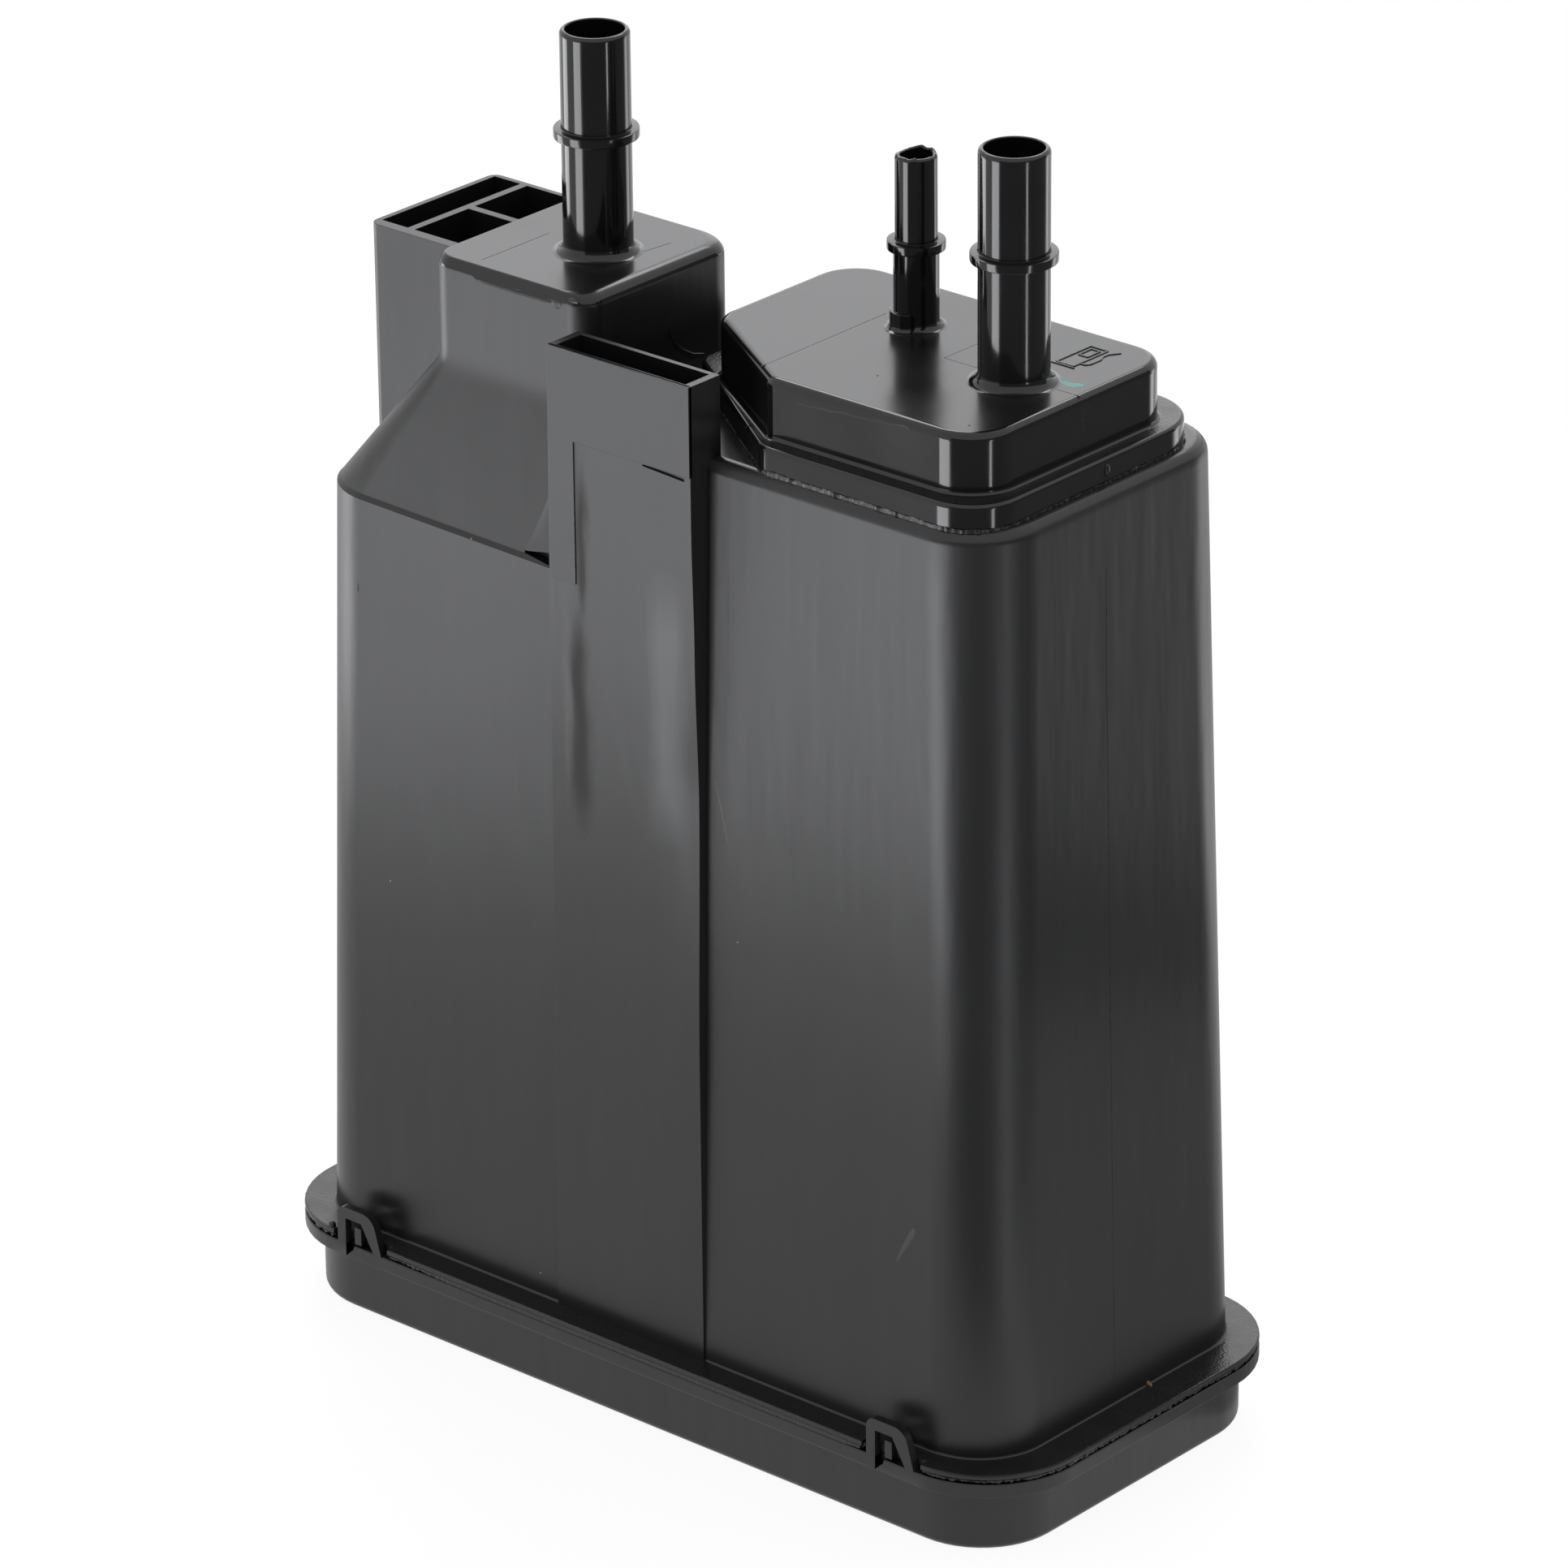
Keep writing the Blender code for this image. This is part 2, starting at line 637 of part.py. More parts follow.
def housing(look):
    shell = body_shell()
    flange = prism("flange", centred(FLANGE_LENGTH, FLANGE_DEPTH, FLANGE_CORNER), FLANGE_BOTTOM, FLANGE_TOP)
    cut(flange, *flange_notches())
    join(shell, flange, *flange_teeth())
    join(shell, roof_and_tower(), end_block(), front_panel())
    vent = pipe(VENT_X, VENT_Y, TOWER_TOP, WIDE_PIPE, WIDE_PIPE, WIDE_BEAD, VENT_BEAD_HEIGHT, VENT_HEIGHT)
    join(shell, vent)
    cut(shell, *front_panel_cutters())
    cut(shell, tank_space(0.0, FLANGE_BOTTOM - WALL, SHELF_BOTTOM))
    cut(shell, vent_space(0.0, FLANGE_BOTTOM - WALL, TOWER_TOP - WALL))
    cut(shell, prism("opening", cap_outline(WALL), SHELF_BOTTOM - WALL, HOUSING_TOP + WALL))
    cut(shell, bore(VENT_X, VENT_Y, WIDE_BORE, TOWER_TOP - WALL, TOWER_TOP + VENT_HEIGHT))
    shell.data.materials.append(look)
    smooth(shell)
    return shell


# Port cap

def port_cap(look):
    lip = 0.5 * MM
    rings = [
        (cap_flange_outline(), CAP_BOTTOM),
        (cap_flange_outline(), CAP_LEDGE - lip),
        (cap_flange_outline(lip), CAP_LEDGE),
        (cap_outline(), CAP_LEDGE),
    ]
    rings += edge_rings(cap_outline, CAP_TOP, CAP_EDGE)
    cap = loft("port_cap", rings)
    inside = prism("inside", cap_outline(WALL), CAP_BOTTOM - WALL, CAP_TOP - WALL)
    left, right = CAP_DIVIDER_X - CAP_DIVIDER / 2, CAP_DIVIDER_X + CAP_DIVIDER / 2
    cut(inside, box("divider", left, right, -BODY_DEPTH, BODY_DEPTH, 0, 2 * CAP_TOP))
    cut(cap, inside)
    tank = pipe(TANK_X, TANK_Y, CAP_TOP, WIDE_PIPE, WIDE_PIPE, WIDE_BEAD, TANK_BEAD_HEIGHT, TANK_HEIGHT)
    purge = pipe(
        PURGE_X, PURGE_Y, CAP_TOP, NARROW_PIPE, NARROW_FOOT, NARROW_BEAD, PURGE_BEAD_HEIGHT, PURGE_HEIGHT
    )
    boss_profile = (
        (PURGE_BOSS / 2, CAP_TOP - WALL / 2),
        (PURGE_BOSS / 2, CAP_TOP + PURGE_BOSS_HEIGHT),
    )
    boss = turned("boss", PURGE_X + PURGE_BOSS_SHIFT_X, PURGE_Y + PURGE_BOSS_SHIFT_Y, boss_profile)
    join(cap, tank, purge, boss)
    cut(cap, bore(TANK_X, TANK_Y, WIDE_BORE, CAP_TOP - WALL, CAP_TOP + TANK_HEIGHT))
    cut(cap, bore(PURGE_X, PURGE_Y, NARROW_BORE, CAP_TOP - WALL, CAP_TOP + PURGE_HEIGHT))
    cap.data.materials.append(look)
    smooth(cap)
    return cap


# Bottom cover

def spring_places():
    """(chamber, x, y) of each spring: two side by side from front to back in each chamber."""
    tank_x = (TANK_CHAMBER_LEFT + body_side_x(PLATE_BOTTOM) - WALL) / 2
    vent_x = (VENT_CHAMBER_RIGHT - body_side_x(PLATE_BOTTOM) + WALL) / 2
    places = []
    for chamber, x in (("tank", tank_x), ("vent", vent_x)):
        for end, y in (("front", -SPRING_SPREAD / 2), ("rear", SPRING_SPREAD / 2)):
            places.append((chamber, end, x, y))
    return places


def snap_loop(x, side):
    """A loop with one upright and one slanting leg, flush with the band's outer face."""
    left, right = x - LOOP_FOOT / 2, x + LOOP_FOOT / 2
    foot, head = BAND_TOP - 0.5 * MM, BAND_TOP + LOOP_HEIGHT
    bar = LOOP_BAR
    edge = FLANGE_DEPTH / 2
    front, back = sorted((side * (edge - LOOP_THICKNESS), side * edge))
    shape = rounded_polygon(
        ((left, foot), (right, foot), (left + LOOP_HEAD, head), (left, head)),
        (0.4 * MM, 0.4 * MM, 2.4 * MM, 2.0 * MM),
        3,
    )
    loop = extruded_y("loop", shape, front, back)
    window = (
        (left + bar, BAND_TOP - LOOP_SLOT_DEPTH),
        (left + 1.45 * bar, BAND_TOP - LOOP_SLOT_DEPTH),
        (left + 1.8 * bar, BAND_TOP),
        (right - bar, BAND_TOP),
        (left + LOOP_HEAD - bar, head - bar),
        (left + bar, head - bar),
    )
    return loop, extruded_y("window", window, front - MM, back + MM)


def bottom_cover(look):
    def outer(inset):
        return centred(COVER_LENGTH, COVER_DEPTH, COVER_CORNER, inset)

    band = centred(FLANGE_LENGTH, FLANGE_DEPTH, FLANGE_CORNER)
    rings = []
    for points, height in reversed(edge_rings(outer, 0.0, COVER_EDGE, 3)):
        rings.append((points, -height))
    rings += [(outer(0.0), BAND_BOTTOM), (band, BAND_BOTTOM + 0.3 * MM), (band, BAND_TOP)]
    cover = loft("bottom_cover", rings)
    cut(cover, prism("inside", outer(WALL), COVER_FLOOR, BAND_TOP + WALL))
    for x in (-LOOP_X, LOOP_X):
        for side in (-1, 1):
            loop, window = snap_loop(x, side)
            join(cover, loop)
            cut(cover, window)
    for chamber, end, x, y in spring_places():
        peg = ((SPRING_PEG / 2, COVER_FLOOR / 2), (SPRING_PEG / 2, COVER_FLOOR + SPRING_PEG_HEIGHT))
        join(cover, turned("peg", x, y, peg, 14))
    cover.data.materials.append(look)
    smooth(cover)
    return cover


# Springs

def spring(name, x, y, bottom, top, look):
    """A coil with a closed turn at each end, swept as a round wire."""
    per_turn, sides = 14, 6
    wire = SPRING_WIRE / 2
    radius = (SPRING_DIAMETER - SPRING_WIRE) / 2
    low, high = bottom + wire, top - wire
    total = SPRING_TURNS + 2
    built = bmesh.new()
    rings = []
    for step in range(per_turn * total + 1):
        turn = step / per_turn
        angle = 2 * math.pi * turn
        if turn < 1:
            rise = SPRING_WIRE * 1.15 * turn
        elif turn > total - 1:
            rise = high - low - SPRING_WIRE * 1.15 * (total - turn)
        else:
            share = (turn - 1) / SPRING_TURNS
            rise = SPRING_WIRE * 1.15 + (high - low - 2.3 * SPRING_WIRE) * share
        ring = []
        for side in range(sides):
            around = 2 * math.pi * side / sides
            reach = radius + wire * math.cos(around)
            z = low + rise + wire * math.sin(around)
            ring.append(built.verts.new((x + reach * math.cos(angle), y + reach * math.sin(angle), z)))
        rings.append(ring)
    for before, after in zip(rings, rings[1:]):
        for i in range(sides):
            j = (i + 1) % sides
            built.faces.new((before[j], before[i], after[i], after[j]))
    built.faces.new(rings[0])
    built.faces.new(reversed(rings[-1]))
    bmesh.ops.recalc_face_normals(built, faces=built.faces)
    return finished(name, built, look)


# Plates, screens and pads

def pierced(plate, left, right, front, back, bottom, top, hole, bar):
    """Cuts square holes on a grid that fills the given field."""
    pitch = hole + bar
    columns = int((right - left + bar) / pitch)
    rows = int((back - front + bar) / pitch)
    start_x = (left + right) / 2 - (columns * pitch - bar) / 2
    start_y = (front + back) / 2 - (rows * pitch - bar) / 2
    for column in range(columns):
        for row in range(rows):
            x, y = start_x + column * pitch, start_y + row * pitch
            cut(plate, box("hole", x, x + hole, y, y + hole, bottom - MM, top + MM))
    smooth(plate)
    return plate


def tank_layer(name, inset, bottom, thickness, look):
    """A flat piece across the tank chamber, as wide as the chamber is at its upper face."""
    top = bottom + thickness
    return prism(name, tank_outline(top, inset), bottom, top, look)


def vent_layer(name, inset, bottom, thickness, look):
    top = bottom + thickness
    return prism(name, vent_outline(top, inset), bottom, top, look)


def upper_tank_layers(look_fleece, look_screen):
    """A fleece and a screen on each side of the cap's divider, clear of the front pocket."""
    edge = SIDE_PLAY
    middle_gap = CAP_DIVIDER / 2 + GAP
    far = BODY_LENGTH
    sides = (
        ("purge_port", CAP_DIVIDER_X - middle_gap, far),
        ("tank_port", -far, CAP_DIVIDER_X + middle_gap),
    )
    for label, left_of_cut, right_of_cut in sides:
        for kind, bottom, thickness, look in (
            ("fleece", TANK_FLEECE_BOTTOM, FLEECE_THICKNESS, look_fleece),
            ("screen", TANK_SCREEN_BOTTOM, SCREEN_THICKNESS, look_screen),
        ):
            layer = tank_space(edge, bottom, bottom + thickness, f"{label}_{kind}", look)
            cut_left, cut_right = sorted((left_of_cut, right_of_cut))
            cut(layer, box("trim", cut_left, cut_right, -far, far, 0, 2 * bottom))
            if kind == "screen":
                y = body_side_y(bottom) - 3 * WALL
                low_x = TANK_CHAMBER_LEFT + 2 * WALL if label == "purge_port" else right_of_cut + WALL
                high_x = left_of_cut - WALL if label == "purge_port" else body_side_x(bottom) - 4 * WALL
                front = POCKET_BACK + 3 * WALL if label == "purge_port" else -y
                pierced(layer, low_x, high_x, front, y, bottom, bottom + thickness, SCREEN_HOLE, SCREEN_BAR)


def build():
    for old in list(bpy.data.objects):
        bpy.data.objects.remove(old)

    black = material("black_nylon", (0.022, 0.022, 0.024), 0.38)
    glossy = material("gloss_black_nylon", (0.014, 0.014, 0.015), 0.2)
    carbon = material("activated_carbon", (0.012, 0.012, 0.012), 0.85)
    felt = material("white_fleece", (0.62, 0.62, 0.58), 0.95)
    foam = material("grey_foam", (0.16, 0.16, 0.17), 0.95)
    grid = material("grid_nylon", (0.05, 0.05, 0.05), 0.5)
    steel = material("spring_steel", (0.55, 0.54, 0.52), 0.3, 1.0)

    housing(black)
    port_cap(glossy)
    bottom_cover(black)

    for chamber, end, x, y in spring_places():
        low = COVER_FLOOR + GAP
        spring(f"{chamber}_spring_{end}", x, y, low, PLATE_BOTTOM - GAP, steel)

    plate_edge = SIDE_PLAY
    for chamber, layer in (("tank", tank_layer), ("vent", vent_layer)):
        plate = layer(f"{chamber}_pressure_plate", plate_edge, PLATE_BOTTOM, PLATE_THICKNESS, grid)
        y = body_side_y(PLATE_BOTTOM) - 3 * WALL
        if chamber == "tank":
            left, right = TANK_CHAMBER_LEFT + 2 * WALL, body_side_x(PLATE_BOTTOM) - 3 * WALL
        else:
            left, right = 3 * WALL - body_side_x(PLATE_BOTTOM), VENT_CHAMBER_RIGHT - 2 * WALL
        top = PLATE_BOTTOM + PLATE_THICKNESS
        pierced(plate, left, right, -y, y, PLATE_BOTTOM, top, PLATE_HOLE, PLATE_BAR)
        layer(f"{chamber}_lower_foam", SIDE_PLAY, FOAM_BOTTOM, FOAM_THICKNESS, foam)
        layer(f"{chamber}_lower_fleece", SIDE_PLAY, LOWER_FLEECE_BOTTOM, FLEECE_THICKNESS, felt)

    tank_space(SIDE_PLAY, BED_BOTTOM, TANK_BED_TOP, "tank_carbon_bed", carbon)
    vent_space(SIDE_PLAY, BED_BOTTOM, VENT_BED_TOP, "vent_carbon_bed", carbon)
    upper_tank_layers(felt, grid)

    inner = WALL + SIDE_PLAY
    fleece_top = VENT_FLEECE_BOTTOM + FLEECE_THICKNESS
    prism("vent_port_fleece", tower_outline(inner), VENT_FLEECE_BOTTOM, fleece_top, felt)
    screen_top = VENT_SCREEN_BOTTOM + SCREEN_THICKNESS
    screen = prism("vent_port_screen", tower_outline(inner), VENT_SCREEN_BOTTOM, screen_top, grid)
    rim = 2 * WALL
    pierced(
        screen,
        TOWER_LEFT + rim,
        TOWER_RIGHT - rim,
        TOWER_FRONT + rim,
        TOWER_BACK - rim,
        VENT_SCREEN_BOTTOM,
        screen_top,
        SCREEN_HOLE,
        SCREEN_BAR,
    )


build()
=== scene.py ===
"""The looks of the charcoal canister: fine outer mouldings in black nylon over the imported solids.

Sizes below are in millimetres in the part's own frame, and the meshes are made in metres.
"""

import json
import math
from collections import namedtuple

import bmesh
import bpy
from mathutils import Matrix, Vector, noise


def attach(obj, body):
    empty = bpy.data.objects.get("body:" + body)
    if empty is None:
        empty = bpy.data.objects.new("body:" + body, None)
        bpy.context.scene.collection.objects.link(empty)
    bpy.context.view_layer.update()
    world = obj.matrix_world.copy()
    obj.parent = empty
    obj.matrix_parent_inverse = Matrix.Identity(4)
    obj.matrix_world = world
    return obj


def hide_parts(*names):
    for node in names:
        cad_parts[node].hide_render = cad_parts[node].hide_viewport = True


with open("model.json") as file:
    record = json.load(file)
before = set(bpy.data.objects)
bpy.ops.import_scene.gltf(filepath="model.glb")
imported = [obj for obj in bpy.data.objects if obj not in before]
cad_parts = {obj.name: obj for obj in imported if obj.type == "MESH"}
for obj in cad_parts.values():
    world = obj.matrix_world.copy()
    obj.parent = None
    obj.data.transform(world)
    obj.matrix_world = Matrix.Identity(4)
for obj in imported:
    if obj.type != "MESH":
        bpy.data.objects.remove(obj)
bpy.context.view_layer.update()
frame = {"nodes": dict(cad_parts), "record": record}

MM = 0.001
SMOOTH_ANGLE = math.radians(31)
BEVEL_ANGLE = math.radians(40)
UPWARD = 0.8  # a face whose normal rises more than this looks up

# Heights
BAND_BOTTOM = 15.4
BAND_TOP = 18.8
FLANGE_BOTTOM = 19.1
FLANGE_TOP = 21.3
ROOF_BOTTOM = 203.8
ROOF_START = -85.6
ROOF_FALL = 0.0248  # of the crease, from ROOF_START towards the pocket
FACE_TOP = 236.8
HOUSING_TOP = 240.2
TOWER_FOOT = 240.6
TOWER_TOP = 265.0
BLOCK_RIM = 263.4
POCKET_RIM = 258.3
CAP_BOTTOM = 240.5
CAP_LEDGE = 246.1
CAP_TOP = 260.1

# Outlines: half width, half depth and corner radius
BODY_X, BODY_Y, BODY_CORNER, BODY_DRAFT = 104.6, 47.5, 17.0, 0.021
BAND_X, BAND_Y, BAND_CORNER = 113.3, 53.9, 24.5
COVER_X, COVER_Y, COVER_CORNER = 108.0, 50.3, 20.0
SPLIT_X = -21.2
LOOP_X, LOOP_HALF, LOOP_BAR = 81.3, 7.2, 2.6
NOTCH_HALF = 8.6
LOOPS = [(x, side) for x in (-LOOP_X, LOOP_X) for side in (-1, 1)]

# Outlines: left, right, front and back
TOWER = (-67.8, -20.5, -36.2, 15.0)
BLOCK = (-94.4, -60.0, -27.3, 14.4)
CAP_FLANGE = (-10.8, 96.5, -41.2, 38.1)
CAP_WALL = (-1.2, 92.3, -36.6, 30.6)
POCKET_LEFT, POCKET_RIGHT, PANEL_FRONT = -20.8, 20.7, -48.02

# Pipe stubs; pipe, foot, bead and bore are radii, and both heights are above the base
Stub = namedtuple("Stub", "x y base pipe foot bead bead_height height bore")
VENT = Stub(-39.4, -10.85, TOWER_TOP, 7.91, 7.91, 9.65, 26.9, 52.0, 6.65)
TANK = Stub(74.8, -3.8, CAP_TOP, 7.91, 7.91, 9.65, 27.7, 53.3, 6.65)
PURGE = Stub(36.8, 8.6, CAP_TOP, 4.745, 5.1, 6.55, 17.9, 39.8, 3.6)


# Node tools

class Tree:
    """The nodes of a material or a world, with the patterns that the looks share."""

    def __init__(self, owner, empty=False):
        owner.use_nodes = True
        self.nodes, self.links = owner.node_tree.nodes, owner.node_tree.links
        if empty:
            self.nodes.clear()

    def feed(self, node, key, value):
        """Gives a socket a value or a colour, or links an output to it."""
        socket = node.inputs[key]
        if isinstance(value, bpy.types.NodeSocket):
            self.links.new(value, socket)
        elif socket.type == "RGBA":
            socket.default_value = (*value, 1.0)
        else:
            socket.default_value = value

    def add(self, kind, inputs=(), **settings):
        """A node with its settings, and inputs by the name or number of their sockets."""
        node = self.nodes.new(kind)
        for key, value in settings.items():
            setattr(node, key, value)
        for key, value in dict(inputs).items():
            self.feed(node, key, value)
        return node

    def place(self):
        return self.add("ShaderNodeTexCoord").outputs["Object"]

    def noise(self, scale, stretch=(1, 1, 1), detail=3.0, roughness=0.5):
        """Noise in object space, with a scale for each axis in features per metre."""
        mapping = self.add("ShaderNodeMapping", {"Vector": self.place(), "Scale": stretch})
        return self.add("ShaderNodeTexNoise", {
            "Vector": mapping.outputs["Vector"], "Scale": scale, "Detail": detail, "Roughness": roughness,
        }).outputs["Fac"]

    def cells(self, scale):
        """Round cells in object space, 0 in their middles, at a scale in cells per metre."""
        return self.add("ShaderNodeTexVoronoi", {"Vector": self.place(), "Scale": scale}).outputs["Distance"]

    def ramp(self, source, low, high, start=0.3, end=0.7):
        """Maps the values between start and end to those between low and high."""
        return self.add("ShaderNodeMapRange", {
            "Value": source, "From Min": start, "From Max": end, "To Min": low, "To Max": high,
        }).outputs["Result"]

    def mix(self, source, first, second):
        """Mixes two colours by a 0 to 1 value."""
        return self.add(
            "ShaderNodeMix", {"Factor": source, "A": first, "B": second}, data_type="RGBA",
        ).outputs["Result"]

    def combine(self, operation, *values):
        """One operation on two or three values, each a number or an output."""
        return self.add("ShaderNodeMath", enumerate(values), operation=operation).outputs[0]

    def seen_rays(self):
        """1 for rays of the camera, in reflections and through glass, and 0 for all others."""
        path = self.add("ShaderNodeLightPath").outputs
        seen = self.combine("MAXIMUM", path["Is Camera Ray"], path["Is Glossy Ray"])
        return self.combine("MAXIMUM", seen, path["Is Transmission Ray"])

    def surface(self, shader):
        self.add("ShaderNodeOutputMaterial", {"Surface": shader.outputs[0]})


class Look(Tree):
    """A material whose colour, roughness and bump come from patterns."""

    def __init__(self, name, colour, roughness, **sockets):
        self.made = bpy.data.materials.new(name)
        self.made.diffuse_color = (*colour, 1.0)
        super().__init__(self.made)
        self.shader = self.nodes["Principled BSDF"]
        self.set("Base Color", colour)
        self.set("Roughness", roughness)
        for key, value in sockets.items():
            self.set(key, value)

    def set(self, key, value):
        self.feed(self.shader, key, value)

    def colour(self, source, first, second):
        self.set("Base Color", self.mix(source, first, second))

    def rough(self, source, low, high):
        self.set("Roughness", self.ramp(source, low, high))

    def bump(self, *heights):
        """Chains (height source, strength, distance in mm) into the shader's normal."""
        normal = None
        for source, strength, distance in heights:
            inputs = {"Height": source, "Strength": strength, "Distance": distance * MM}
            if normal:
                inputs["Normal"] = normal
            normal = self.add("ShaderNodeBump", inputs).outputs["Normal"]
        self.set("Normal", normal)


# Materials

def satin_nylon():
    """The body's faces: drawn out of the mould upwards, so fine streaks run along Z."""
    look = Look("satin_nylon", (0.012, 0.0123, 0.013), 0.34, Anisotropic=0.75)
    look.set("Tangent", look.add("ShaderNodeTangent", direction_type="RADIAL", axis="Z").outputs["Tangent"])
    streaks = look.noise(900, (1, 1, 0.012))
    broad = look.noise(60, (1, 1, 0.12), 2.0)
    cloud = look.noise(14, (1, 1, 0.6))
    waves = look.noise(120, (1, 1, 0.2), 2.0)
    grain = look.noise(5200, detail=1.0)
    # Two tall streaks of the front panel are smoother than the rest, and a third is painted paler: a painted
    # sheen that puts the highlight of the panel's backward lean into the colour
    streak = look.combine(
        "MAXIMUM",
        panel_patch(look, -0.0146, -0.0088, 0.188, 0.238, 0.0026),
        panel_patch(look, -0.0180, -0.0086, 0.138, 0.203, 0.004),
    )
    look.set("Roughness", look.combine("MULTIPLY_ADD", streak, -0.2, look.ramp(cloud, 0.29, 0.38)))
    plain = look.mix(broad, (0.0104, 0.0107, 0.0115), (0.0142, 0.0145, 0.0153))
    # Painted sheen: inside the third streak the colour turns pale grey, standing in for the highlight on the
    # leaning panel
    look.colour(panel_patch(look, 0.0066, 0.0186, 0.146, 0.214, 0.0045), plain, (0.072, 0.073, 0.075))
    look.bump((streaks, 0.22, 0.05), (broad, 0.12, 0.25), (waves, 0.5, 0.4), (grain, 0.05, 0.03))
    return look.made


def panel_patch(look, left, right, bottom, top, side_fade):
    """1 in a tall patch of the panel's front, with soft mottled edges, and 0 elsewhere; in metres."""
    end_fade, shift = 0.016, 0.004
    axes = look.add("ShaderNodeSeparateXYZ", {0: look.place()}).outputs
    x = look.combine("MULTIPLY_ADD", look.noise(240, (1, 1, 0.25), 4.0), shift, axes["X"])
    product = look.ramp(axes["Y"], 0.0, 1.0, -0.045, -0.0465)
    left, right = left + shift / 2, right + shift / 2
    for source, low, high in (
        (x, left, left + side_fade), (x, right, right - side_fade),
        (axes["Z"], bottom, bottom + end_fade), (axes["Z"], top, top - end_fade),
    ):
        product = look.combine("MULTIPLY", product, look.ramp(source, 0.0, 1.0, low, high))
    return product


def semi_gloss_nylon():
    """The upper faces, smoother than the sides, with a soft sheen."""
    look = Look("semi_gloss_nylon", (0.008, 0.0082, 0.0085), 0.2)
    cloud = look.noise(40, detail=4.0)
    look.rough(cloud, 0.17, 0.26)
    look.colour(cloud, (0.0065, 0.0066, 0.007), (0.0105, 0.0105, 0.011))
    look.bump((look.noise(110, detail=2.0), 0.12, 0.1), (look.noise(4200, detail=1.0), 0.05, 0.02))
    return look.made


def gloss_nylon():
    """The stubs and the cap's walls, from a polished part of the mould."""
    look = Look("gloss_nylon", (0.006, 0.006, 0.0064), 0.1)
    cloud = look.noise(60)
    look.rough(cloud, 0.07, 0.15)
    look.colour(cloud, (0.005, 0.005, 0.0054), (0.0075, 0.0075, 0.008))
    look.bump((look.noise(90, (1, 1, 0.5), 2.0), 0.12, 0.12))
    return look.made


def stippled_nylon():
    """The flange and the cap's ledge, eroded to a fine stipple where the welding tool pressed."""
    look = Look("stippled_nylon", (0.008, 0.0082, 0.0086), 0.3)
    cells, cloud = look.cells(1500), look.noise(120)
    look.rough(cloud, 0.24, 0.4)
    look.colour(cells, (0.0115, 0.0116, 0.012), (0.017, 0.017, 0.0176))
    look.bump((cells, 0.5, 0.12), (cloud, 0.2, 0.1))
    return look.made


def flash_nylon():
    """Rough squeezed-out plastic along the welds."""
    look = Look("flash_nylon", (0.006, 0.006, 0.0062), 0.34)
    lumps = look.noise(900, detail=4.0)
    look.rough(lumps, 0.2, 0.5)
    look.colour(lumps, (0.004, 0.004, 0.0042), (0.011, 0.011, 0.0115))
    look.bump((lumps, 0.6, 0.3))
    return look.made


def mottled(name, colour, roughness, pattern, dark, strength, distance):
    """A colour that darkens to a share of itself where its noise pattern is low."""
    look = Look(name, colour, roughness)
    source = look.noise(*pattern)
    look.colour(source, tuple(dark * c for c in colour), colour)
    look.bump((source, strength, distance))
    return look.made


def paint(name, colour, roughness):
    return mottled(name, colour, roughness, pattern=(900,), dark=0.7, strength=0.3, distance=0.05)


def felt(name, colour, scale):
    fibres = scale, (1, 0.25, 1), 6.0, 0.7
    return mottled(name, colour, 0.95, pattern=fibres, dark=0.72, strength=0.6, distance=0.4)


def carbon_granules():
    look = Look("carbon_granules", (0.012, 0.012, 0.012), 0.8)
    cells = look.cells(480)
    look.colour(cells, (0.022, 0.022, 0.022), (0.004, 0.004, 0.004))
    look.bump((cells, 1.0, 1.2))
    return look.made


def grid_nylon():
    look = Look("grid_nylon", (0.045, 0.045, 0.046), 0.45)
    cloud = look.noise(300)
    look.rough(cloud, 0.36, 0.55)
    look.colour(cloud, (0.035, 0.035, 0.036), (0.055, 0.055, 0.056))
    look.bump((cloud, 0.2, 0.1))
    return look.made


def spring_steel():
    look = Look("spring_steel", (0.52, 0.51, 0.49), 0.28, Metallic=1.0)
    drawn = look.noise(1500, (1, 1, 0.3))
    look.rough(drawn, 0.2, 0.38)
    look.colour(drawn, (0.42, 0.41, 0.39), (0.58, 0.57, 0.55))
    look.bump((drawn, 0.15, 0.05))
    return look.made


SATIN, TOP, GLOSS, STIPPLE, FLASH, TEAL, BROWN, DUST, SCUFF = range(9)
looks = (
    satin_nylon(), semi_gloss_nylon(), gloss_nylon(), stippled_nylon(), flash_nylon(),
    paint("teal_mark", (0.16, 0.60, 0.56), 0.5), paint("brown_fleck", (0.42, 0.27, 0.16), 0.7),
    paint("pale_dust", (0.45, 0.45, 0.43), 0.8), paint("pale_scuff", (0.046, 0.047, 0.047), 0.38),
)


# Outlines

def rounded(corners, radii, steps=12):
    """Counter-clockwise corners, each turned into an arc of the given radius."""
    points = []
    for i, (corner, radius) in enumerate(zip(corners, radii)):
        before, after = corners[i - 1], corners[(i + 1) % len(corners)]
        into = math.atan2(corner[1] - before[1], corner[0] - before[0])
        out = math.atan2(after[1] - corner[1], after[0] - corner[0])
        turn = (out - into) % (2 * math.pi)
        reach = radius * math.tan(turn / 2)
        centre_x = corner[0] - reach * math.cos(into) - radius * math.sin(into)
        centre_y = corner[1] - reach * math.sin(into) + radius * math.cos(into)
        for step in range(steps + 1):
            angle = into - math.pi / 2 + turn * step / steps
            points.append((centre_x + radius * math.cos(angle), centre_y + radius * math.sin(angle)))
    return points


def rect(left, right, front, back, radii, steps=12):
    """Radii: front left, front right, back right, back left."""
    corners = ((left, front), (right, front), (right, back), (left, back))
    return rounded(corners, [max(0.02, radius) for radius in radii], steps)


def centred(x, y, corner, inset=0.0):
    x, y, corner = x - inset, y - inset, corner - inset
    return rect(-x, x, -y, y, (corner,) * 4)


